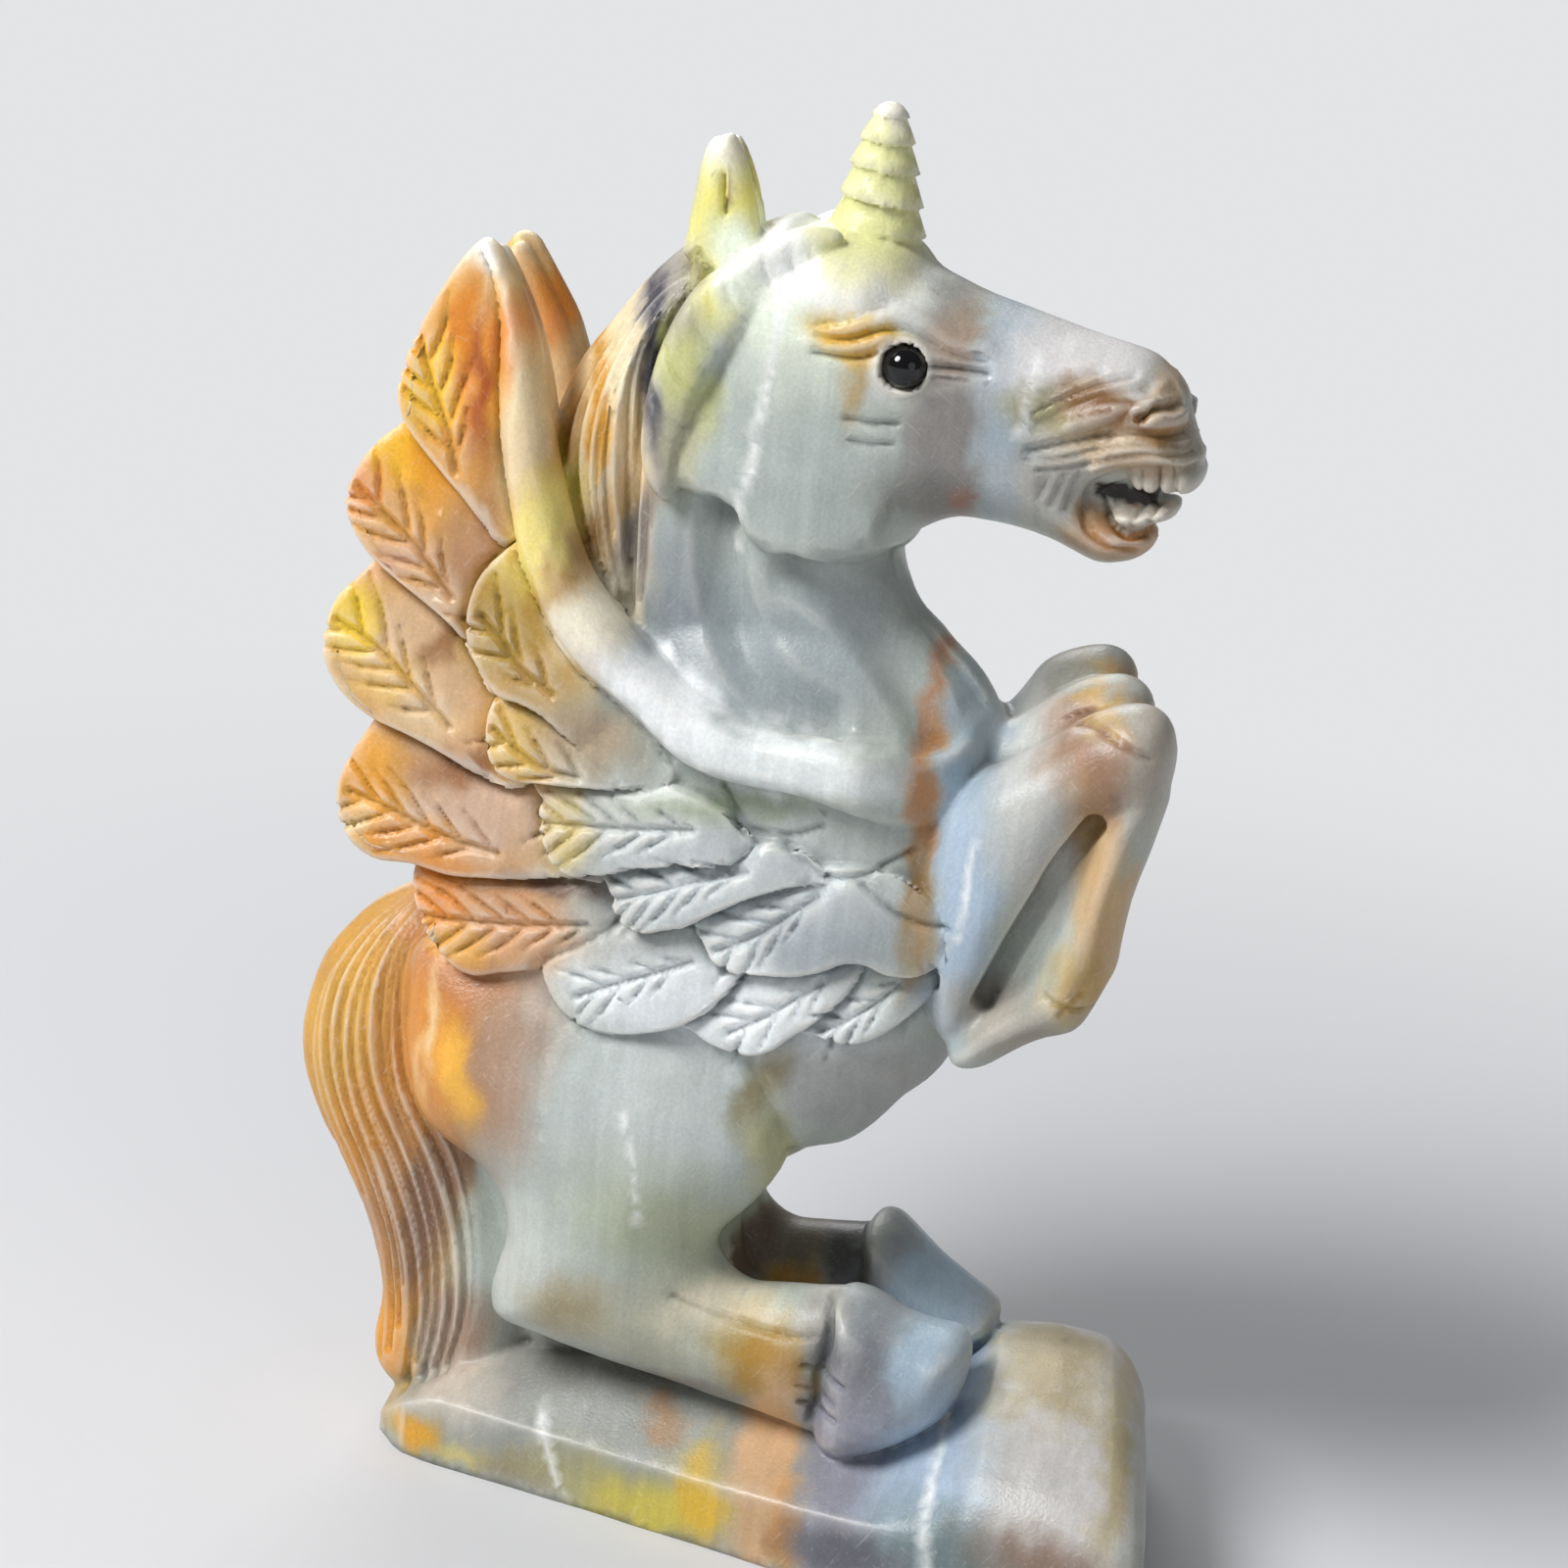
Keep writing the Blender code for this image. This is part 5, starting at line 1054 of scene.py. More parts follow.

# Colours of the stone: name, colour, middle in X and Z, reach in X and Z, turn in degrees, how soft its edge
# is, and how strongly it covers what is under it
# Some entries are painted shade, and one is a painted highlight; each is marked where it stands
GROUND = "#b3bab3"
STAINS_AND_PAINTED_LIGHT = [
    ("wing", "#d9a767", (-35, 93), (14, 42), 6, 0.4, 1),
    ("tail", "#c78c40", (-40, 33), (10, 29), 8, 0.4, 1),
    ("rock", "#9fa198", (-10, 6), (28, 11), 8, 0.3, 1),
    ("outer swell of the tail", "#dcac52", (-43.5, 45.5), (4, 11), -10, 0.8, 0.9),
    ("tan middle of the tail", "#b58862", (-37.5, 26), (2.5, 12), -10, 0.9, 0.8),
    ("inner tail", "#866650", (-31, 30), (3.5, 15), -12, 0.6, 0.95),
    ("tail foot", "#dc9838", (-35.5, 10), (3, 6), 0, 0.6, 1),
    ("tail foot, inner side", "#a08874", (-28, 12.5), (3.5, 6), 0, 0.7, 1),
    ("hip", "#d28c3c", (-30.5, 49), (6.5, 13), 0, 0.5, 1),
    ("top of the hip", "#bb7d50", (-28.5, 57), (8, 4), 0, 0.8, 0.9),
    ("rosy back of the thigh", "#ae8c74", (-23, 48), (4.5, 11), -6, 1.0, 0.9),
    ("bright spot on the hip", "#f2b846", (-28.5, 45.5), (2, 5.5), 15, 0.8, 0.9),
    # Painted highlight: a pale streak down the hip
    ("painted highlight on the hip", "#f4dcb0", (-32.2, 49.5), (0.8, 7), 0, 0.9, 0.7),
    ("thigh", "#bec6c4", (-6.5, 44), (12.5, 15), 0, 0.7, 0.95),
    ("white middle of the thigh", "#d2d7d4", (-6, 45), (5, 8), -15, 1.1, 0.6),
    ("yellow edge of the thigh", "#bebc8c", (5, 41), (2.2, 7), 8, 1.0, 0.9),
    ("green low thigh", "#adb496", (-4, 33), (10, 6), -25, 1.1, 0.85),
    ("hock", "#c8cdc6", (-19.5, 27), (3.5, 7), 0, 0.9, 0.85),
    ("brown under the hock", "#a08e66", (-13.5, 23), (4.5, 3.5), 10, 1.1, 0.75),
    ("shank", "#b3b29c", (-3, 22.5), (8, 4.5), 15, 0.9, 0.8),
    ("pale shank", "#dcd2ba", (2.5, 25), (5.5, 1.8), 15, 0.9, 0.85),
    ("ochre shank", "#ac8436", (7.5, 20.5), (4.5, 4.5), 10, 0.7, 1),
    ("pale fetlock", "#aeaba4", (12.5, 26), (2.5, 4), 0, 0.7, 0.9),
    ("hoof", "#74767a", (18, 21), (5.5, 6), 0, 0.5, 1),
    ("dark sole", "#4c4b4d", (15.5, 16.5), (5, 1.8), 10, 0.8, 0.85),
    ("blue of the hoof", "#a2b6c4", (24, 24.5), (4, 5), 0, 0.7, 1),
    ("hoof top", "#9a9fa4", (18, 27.5), (4, 2.5), 20, 0.8, 0.8),
    ("rock tail", "#d8cdbe", (-25, 7.5), (5.5, 2.5), 8, 0.9, 0.85),
    ("gold corner", "#dfa430", (-30.5, 2.5), (3.5, 2), 15, 0.7, 1),
    ("yellow edge", "#d0c078", (-24.5, 2), (4, 1.3), 12, 0.9, 0.85),
    ("brown edge", "#948066", (-17.5, 2.5), (3.5, 1.8), 12, 1.0, 0.8),
    ("shade under the shank", "#7f7d78", (-8, 13), (13, 2.5), 14, 0.8, 0.9),
    ("pale rock", "#999c97", (-11, 8.5), (13, 3), 12, 0.9, 0.8),
    ("orange fleck", "#ab835c", (-3, 10), (2.2, 1.3), -30, 1.1, 0.8),
    ("olive rock", "#a8a47a", (-13, 4), (6, 2.2), 14, 1.0, 0.8),
    ("yellow rock", "#cbbc54", (-3, 3), (8, 3), 14, 0.9, 1),
    ("gold rock", "#dab038", (2.5, 5), (2.5, 4), 0, 0.9, 0.9),
    ("peach band", "#d0ab82", (8.5, 9.5), (3.3, 12), 0, 0.4, 1),
    ("orange at the band's foot", "#cb8c48", (12, 4), (1.8, 4.5), 10, 0.7, 0.9),
    ("lilac band", "#92929e", (17, 9.5), (4.5, 12), 0, 0.45, 1),
    ("blue band", "#a8b9cb", (26.5, 12), (6.5, 10), 0, 0.7, 1),
    # Painted shade along the foot of the rock: the dark low band, and the green low band over a green tint
    ("painted shade at the rock's foot", "#606168", (19, 4), (7, 3), 0, 0.9, 0.9),
    ("green low band", "#6a7b7a", (30, 7), (7, 4), 0, 0.9, 0.85),
    ("front block", "#c2bfbc", (39.5, 17), (8, 9.5), 0, 0.6, 1),
    ("ochre top of the block", "#a4936a", (36, 21), (6, 1.8), 3, 1.0, 0.8),
    ("ochre corner", "#b09f70", (44.5, 18), (1.4, 5), -5, 1.0, 0.7),
    # Brown tint of the block, darkened low down with painted shade
    ("brown low block", "#80695a", (40, 9), (8, 3), 0, 1.0, 0.85),
    ("belly", "#a8a8a6", (14, 51), (10, 6), -20, 0.6, 0.85),
    ("olive fold", "#8a7f5a", (4, 51.5), (1.6, 6), -20, 1.0, 0.85),
    # Painted shade on the lower chest, over its blue-grey
    ("painted shade on the lower chest", "#8e9aa6", (22.5, 63), (4, 4), 0, 0.8, 0.7),
    ("first quill", "#eeaa44", (-34, 119), (7, 12), 0, 0.5, 1),
    ("pale top", "#f3d09a", (-32.5, 127), (3, 5), 0, 0.9, 0.9),
    ("white tip", "#fbf6ee", (-33.3, 130), (1.8, 2), 0, 0.8, 1),
    ("orange stripe", "#df8626", (-33.8, 121.5), (1.2, 5.5), 5, 0.9, 0.95),
    ("orange root", "#dd8c40", (-28.4, 121), (2, 5), 5, 0.9, 0.95),
    ("red brown streak", "#b05a26", (-31.8, 115), (0.9, 8.5), 0, 0.9, 0.95),
    ("gold edge", "#f3c03c", (-37, 116), (2.5, 4.5), -15, 0.9, 1),
    ("brown root of the first quill", "#b47c44", (-31, 106.5), (2.5, 6.5), 0, 0.8, 0.95),
    ("second quill", "#dba35a", (-37, 103), (8, 9), 0, 0.5, 1),
    ("gold of the second quill", "#f2bb34", (-40, 109), (4.5, 3), -20, 0.8, 1),
    ("flame edge", "#dd8c42", (-43.3, 104), (1.6, 3.2), -10, 0.9, 0.85),
    ("amber barb", "#e39a2e", (-37, 107.5), (2.2, 3), 0, 0.9, 0.7),
    ("tan root of the second quill", "#b98e68", (-31.5, 99.5), (4, 6), -20, 0.8, 1),
    ("rose edge", "#dcb098", (-39, 98.5), (4, 1.5), 40, 0.9, 0.7),
    ("third quill", "#d7b48c", (-35.5, 88), (9, 8), 0, 0.5, 1),
    ("yellow of the third quill", "#f0ca3c", (-43.5, 91.5), (2.8, 4), 0, 0.8, 1),
    ("gold foot of the third quill", "#e2b866", (-39.5, 85), (4.5, 2.5), 20, 0.9, 0.9),
    # Painted shadow that the second quill casts on the top of the third
    ("painted shadow under the second quill", "#946a40", (-31.5, 92.5), (1.3, 6), -40, 0.8, 0.85),
    ("pale heel", "#e2c494", (-34, 82), (3.5, 1.8), 10, 0.9, 0.8),
    ("fourth quill", "#ceae94", (-31, 73.5), (10, 6.5), 10, 0.5, 1),
    ("orange of the fourth quill", "#e2a03c", (-40, 74.5), (4, 5.5), 10, 0.9, 1),
    ("pale corner", "#f6dfae", (-41.5, 70), (1.5, 2.5), -20, 0.9, 0.7),
    ("orange foot", "#dd9438", (-35.5, 69), (5, 2), 8, 0.9, 0.9),
    # Painted shadow that the third quill casts on the top of the fourth
    ("painted shadow under the third quill", "#96643c", (-29.5, 77.8), (6, 1.6), 18, 0.9, 0.9),
    ("fifth quill", "#cc9a6e", (-25, 63), (9, 5.5), 0, 0.5, 1),
    ("orange of the fifth quill", "#dc8c38", (-32.5, 63.5), (3, 4.5), 0, 0.8, 1),
    ("gold of the fifth quill", "#e0a848", (-30.5, 59), (4, 2), 0, 0.9, 0.9),
    ("grey end of the fifth quill", "#b2b3ae", (-12, 65), (5, 5), 0, 1.0, 0.95),
    ("brown shade on the fifth quill", "#6c5040", (-19, 67.8), (6, 1.1), 4, 0.9, 0.85),
    ("first covert", "#b59240", (-26.8, 95), (4, 7), -15, 0.5, 1),
    ("ochre root of the first covert", "#b89552", (-21.5, 89.5), (2.5, 5.5), -40, 0.9, 0.95),
    ("second covert", "#d6b058", (-24.5, 82), (3.2, 4.5), 0, 0.7, 1),
    ("tan covert", "#b9a488", (-17.5, 83.5), (5, 3.5), -20, 0.9, 0.9),
    ("third covert", "#c2c4be", (-10, 74.5), (9, 5), 0, 0.7, 0.95),
    ("yellow of the third covert", "#cdb878", (-19, 73.5), (2.6, 4), 0, 0.9, 0.95),
    ("grey coverts", "#c2c9cb", (1, 70.5), (15, 7.5), 0, 0.6, 0.95),
    ("shade of the last covert", "#9aa2a6", (8.5, 67), (6, 3.8), 10, 0.9, 0.9),
    ("lower row", "#dee3e5", (-0.5, 58.5), (18, 5), 4, 0.5, 0.95),
    ("green seam", "#99a58c", (-1, 80), (11, 1.2), 15, 1.0, 0.8),
    ("brown stratum", "#b48a6e", (16, 93.5), (1, 8), -4, 0.7, 0.95),
    ("orange stratum", "#ba845a", (17.3, 84), (1.4, 9), 4, 0.6, 1),
    ("ochre stratum", "#a88a62", (17.3, 72), (1.4, 8), 3, 0.7, 0.95),
    ("blue chest", "#acbecf", (22, 75), (3.5, 14), 3, 0.6, 1),
    ("blue hollow", "#9cb0be", (21.5, 86.5), (2.5, 3.5), 0, 0.8, 0.9),
    ("arm", "#c3c4c0", (27.5, 84), (4.5, 12), 12, 0.7, 0.95),
    ("rose knee", "#a08069", (33, 89.5), (5, 4.5), -10, 0.9, 1),
    ("ochre knee top", "#c0a066", (31.5, 93.5), (4, 1.2), -12, 0.9, 0.9),
    ("brown knee", "#8c6850", (33.5, 86), (1.8, 4.5), 18, 0.9, 0.95),
    ("knee cap", "#c0b6a8", (39, 90), (2.2, 7), 0, 0.9, 0.95),
    ("tan shin", "#cdac7e", (36, 73), (3.2, 13), 14, 0.6, 1),
    ("grey hoof", "#a8a194", (28, 61.5), (5.5, 4), -20, 0.8, 0.9),
    ("ochre heel", "#c29c52", (34, 66), (2.5, 3.5), 0, 0.9, 0.9),
    ("neck", "#9da6a8", (-1, 96), (13, 10), 0, 0.6, 1),
    ("blue neck edge", "#a0b0ba", (19, 91.5), (2, 5), -20, 0.8, 0.8),
    ("neck root", "#878f94", (-10.5, 99), (3.5, 8), 0, 0.8, 0.85),
    ("cheek", "#b0b9b4", (-2, 112), (13, 11), 0, 0.7, 1),
    ("pale temple", "#d4dacc", (-1, 127.5), (7, 7), 0, 0.9, 0.95),
    ("forehead", "#f0efe9", (5.5, 132.5), (6, 5), -10, 0.8, 1),
    ("white forehead", "#f8f8f5", (1.5, 133.5), (3.5, 3), 0, 0.9, 0.8),
    ("gold brow", "#dca62c", (4.8, 126.8), (4, 1.7), -8, 1.0, 0.95),
    ("gold lid", "#e4b450", (6.5, 125.3), (2.5, 1), 0, 0.9, 0.7),
    ("gold tear", "#b99250", (5.6, 121.8), (1.2, 3.6), 0, 1.2, 0.6),
    ("taupe band", "#96928f", (14.3, 119), (3.3, 13), 0, 0.6, 1),
    ("orange bridge", "#b49c86", (14.5, 127.6), (3, 2.4), 8, 1.2, 0.8),
    # Painted shade under the jaw
    ("painted shade under the jaw", "#86847f", (14, 112.5), (5, 3), 0, 0.9, 0.85),
    ("blue band of the nose", "#a9b8c2", (20, 122), (2.6, 13), 0, 0.6, 1),
    ("lilac nose", "#e0dddc", (27, 127), (8, 5), 20, 0.8, 1),
    ("olive wrinkles", "#9e966e", (25, 120.8), (5, 2), -15, 1.0, 0.9),
    ("pale cheek of the nose", "#b4b0aa", (25, 114.5), (5, 4), 0, 0.9, 0.85),
    ("brown flange", "#7f5730", (31.2, 122.4), (5.5, 2.2), -6, 0.8, 1),
    ("brown nostril", "#a87c48", (35.5, 122.5), (2, 2), 0, 0.9, 0.9),
    ("tan nose tip", "#c9b090", (35.5, 125.5), (2, 2.5), 0, 0.9, 0.9),
    ("lips", "#c4ae92", (33, 118.8), (7, 2.2), 0, 0.8, 1),
    ("brown chin", "#a87a50", (32, 109.8), (4.5, 2.4), 5, 0.8, 1),
    ("orange lip", "#c08c54", (34, 109), (2, 1), 0, 0.9, 0.8),
    ("rust fleck", "#9c7464", (16, 111.5), (1.4, 1.2), 0, 1.0, 0.8),
    ("horn", "#e9e8a8", (5, 140), (7, 8), 0, 0.4, 1),
    ("horn tip", "#f6f3de", (5, 146.5), (2.5, 2), 0, 0.8, 1),
    ("ear", "#f4ea72", (-9.5, 134.5), (4.5, 8.5), 0, 0.4, 1),
    ("ear tip", "#f5f2da", (-10, 142.5), (3, 2.8), 0, 0.8, 1),
    ("brown slit", "#7a6030", (-9.5, 138.5), (0.5, 2), 0, 0.6, 0.9),
    ("forelock", "#e9f0de", (-5, 130.5), (8, 4), -42, 0.5, 1),
    ("white of the forelock", "#f8fbf5", (-2.5, 133), (4, 3), -35, 0.8, 1),
    ("green forelock", "#cbcd8c", (-11.8, 121.5), (2.6, 7.5), 10, 0.8, 1),
    ("forelock end", "#b6b396", (-12, 112.5), (2.4, 4.5), 0, 0.9, 0.9),
    ("mane", "#f0d6aa", (-19.5, 112), (5, 19), 6, 0.5, 1),
    ("top of the mane", "#9a948c", (-14.5, 129), (3.5, 5), 40, 0.9, 0.9),
    ("cream strand", "#f0e2be", (-17.8, 120.5), (1.1, 6), 12, 0.8, 1),
    ("dark strand", "#514e57", (-15.2, 122), (1, 9), 8, 0.7, 1),
    ("gold strand", "#cf9530", (-20.3, 116), (1, 7.5), 8, 0.8, 0.95),
    ("amber back of the mane", "#c4924c", (-23.5, 112), (1.2, 7), 0, 0.9, 0.9),
    ("pale strand", "#ddcfb4", (-18.8, 108), (0.9, 5), -15, 0.9, 0.9),
    ("grey root", "#8f8680", (-15.3, 102.5), (1.8, 7), -6, 0.9, 0.95),
    ("amber root", "#b08a54", (-20.5, 102), (1.8, 6), -28, 0.9, 0.9),
    ("cream band", "#e9d2a6", (-27, 113), (2.6, 8), -3, 0.6, 1),
    ("yellow band", "#efdc80", (-24, 104), (2.8, 6.5), -12, 0.6, 1),
    ("pale yellow band", "#f1e9d2", (-18.8, 95.8), (3.6, 4.4), -42, 0.6, 1),
    ("tan fleck", "#c6b8ae", (-17.8, 93), (1.2, 2), 45, 1.0, 0.6),
    ("white band", "#f3f5f6", (-9, 88.3), (9, 3.4), -32, 0.4, 1),
    ("pale band", "#e8edec", (4.5, 84.8), (11, 3.2), -3, 0.4, 1),
    ("orange stripe on the band", "#c08a58", (17.3, 83.5), (1.3, 5.5), 3, 0.7, 0.9),
]
# Colours on the far side only, with painted shade behind the near legs among them
FAR_STAINS_AND_SHADE = [
    # The far leg's brown-grey, darkened with painted shade behind the near leg
    ("far leg", "#7c7468", (6, 25.5), (6, 3), 10, 0.5, 1),
    ("dark far fetlock", "#4f5054", (13, 26), (2, 2.5), 0, 0.5, 0.9),
    ("far hoof", "#a4b8c6", (22, 24.5), (6, 4), 38, 0.4, 1),
    # Painted shade in the hollow behind the legs
    ("painted shade behind the legs", "#6a5a48", (2, 25), (2.5, 3.5), -30, 0.4, 0.9),
    ("far wing tip", "#ecd27e", (-34.5, 127.5), (1, 1.5), 0, 0.5, 1),
    ("far wing orange", "#e8932a", (-28.5, 126), (1.5, 5), 0, 0.5, 1),
    ("far wing cream", "#d9bb8c", (-25.5, 117.5), (1.5, 7), -8, 0.5, 1),
    ("far arm", "#a3a296", (30, 92.5), (6.5, 2), -25, 0.5, 0.9),
]
# Painted shade in the slot between each foreleg's arm and cannon
INNER_PAINTED_SHADE = [
    ("painted shade in the slot", "#6e665d", (29.5, 72.5), (3, 12), 28, 0.8, 0.9),
]
TEETH = "#c6bcae"
EYE_RING = "#d4cfc2"
# Painted shade inside the open mouth
MOUTH_SHADE = "#1d1612"
VEIN = "#f7f7f5"

# White veins: the line that each follows, and its half width
VEINS = [
    ([(-1.6, 131), (-2.6, 125), (-3.2, 120), (-3.7, 115), (-4.2, 110), (-5, 104)], 0.5),
    ([(22.3, 127), (22, 123), (21.4, 119)], 0.4),
    ([(-8.5, 90), (-8, 84), (-8.4, 80)], 0.35),
    ([(-9.5, 47), (-7.5, 41), (-6.8, 34)], 0.22),
    ([(-16, 9), (-14, 5), (-12.5, 1)], 0.45),
    ([(22.5, 80), (22.5, 74), (22, 69)], 0.35),
    ([(26.5, 16), (27.5, 9), (28, 1)], 0.5),
    ([(2, 84), (2.5, 80), (2, 76)], 0.3),
]
VEIN_STRENGTH = 0.75


def from_hex(text):
    """An sRGB hex colour as three numbers from 0 to 1."""
    return np.array([int(text[i:i + 2], 16) for i in (1, 3, 5)]) / 255


def linear(text):
    """An sRGB hex colour as a linear RGBA tuple."""
    return (*to_linear(from_hex(text)), 1.0)


def to_linear(colour):
    colour = np.asarray(colour, float)
    return np.where(colour <= 0.04045, colour / 12.92, ((colour + 0.055) / 1.055) ** 2.4)


def wander(points):
    """Where each point lies in the strata once they are bent as the stone grew, in X and Z."""
    slow = np.array([noise.noise_vector(Vector(p) / STRATA_SWAY) for p in points])
    mottle = np.array([noise.noise_vector(Vector(p) / MOTTLE) for p in points])
    streaks = points / np.array([FRAY_ACROSS, FRAY_ACROSS, FRAY_ALONG])
    fine = np.array([noise.noise_vector(Vector(p)) for p in streaks])
    bent = slow * SWAY_BY + mottle * MOTTLE_BY + fine * FRAY_BY
    flat = points[:, [0, 2]] + bent[:, [0, 2]]
    flat[:, 0] += STRATA_LEAN * (points[:, 1] + SHOW_SIDE)
    return flat


def stone_colours(points):
    """The stone's colour at each point, from its ground colour, its stains with painted shade and a painted highlight
    among them, its white veins, and painted shade inside the mouth.
    """
    flat = wander(points)
    colour = np.tile(from_hex(GROUND), (len(points), 1))
    y = points[:, 1]
    places = [(stain_and_painted_light, np.ones(len(y))) for stain_and_painted_light in STAINS_AND_PAINTED_LIGHT] + [(stain_and_painted_light, y > -2) for stain_and_painted_light in FAR_STAINS_AND_SHADE]
    places += [(stain_and_painted_light, np.abs(y) < 8.5) for stain_and_painted_light in INNER_PAINTED_SHADE]
    for (_, tint, middle, reach, turn, soft, strength), there in places:
        a = math.radians(turn)
        off = flat - np.array(middle)
        u = (off[:, 0] * math.cos(a) + off[:, 1] * math.sin(a)) / reach[0]
        v = (off[:, 1] * math.cos(a) - off[:, 0] * math.sin(a)) / reach[1]
        away = np.hypot(u, v)
        blur = soft + 0.4
        share = np.clip((1 + blur / 2 - away) / blur, 0, 1)
        share = (share * share * (3 - 2 * share) * strength * there)[:, None]
        colour = colour * (1 - share) + from_hex(tint) * share
    side_view = points[:, [0, 2]]
    near_line = side_view + (flat - side_view) * VEIN_WANDER
    for line, half in VEINS:
        away = distance(near_line, curve(line, closed=False), closed=False) / half
        share = np.clip(1.4 - away, 0, 1)[:, None] * VEIN_STRENGTH
        colour = colour * (1 - share) + from_hex(VEIN) * share
    ring = np.abs(np.hypot(*(side_view - np.array(EYE_AT)).T) - EYE_RIM)
    share = (np.clip(1.6 - ring / RIM_HALF, 0, 1) * (np.abs(y) > 6))[:, None] * 0.85
    colour = colour * (1 - share) + from_hex(EYE_RING) * share
    gum = (points[:, 2] < 116.3) & (np.abs(y) < TEETH_HALF + 0.2)
    colour[gum & (inside(side_view, curve(UPPER_TEETH)) | inside(side_view, curve(LOWER_TEETH)))] = from_hex(TEETH)
    # Painted shade: the inside of the open mouth is set near black
    mouth_shade = (points[:, 0] > 28.6) & (points[:, 0] < 34.5) & (np.abs(y) < 4.6)
    mouth_shade &= (points[:, 2] > 113.3) & (points[:, 2] < 115.1)
    colour[mouth_shade] = from_hex(MOUTH_SHADE)
    return to_linear(colour)


def keep_on_points(item, name, values):
    """Store one number or one colour for each point, for the material to read."""
    if values.ndim == 1:
        item.data.attributes.new(name, "FLOAT", "POINT").data.foreach_set("value", values.astype(np.float32))
    else:
        rgba = np.concatenate([values, np.ones((len(values), 1))], axis=1)
        item.data.attributes.new(name, "FLOAT_COLOR", "POINT").data.foreach_set("color", rgba.ravel())


def add(tree, kind, inputs=None, **settings):
    """One node with its settings; an input is a value or another node's output."""
    node = tree.nodes.new("ShaderNode" + kind)
    for key, setting in settings.items():
        setattr(node, key, setting)
    for key, given in (inputs or {}).items():
        if isinstance(given, bpy.types.NodeSocket):
            tree.links.new(given, node.inputs[key])
        else:
            node.inputs[key].default_value = given
    return node


def new_material(name):
    material = bpy.data.materials.new(name)
    material.use_nodes = True
    material.node_tree.nodes.clear()
    return material, material.node_tree


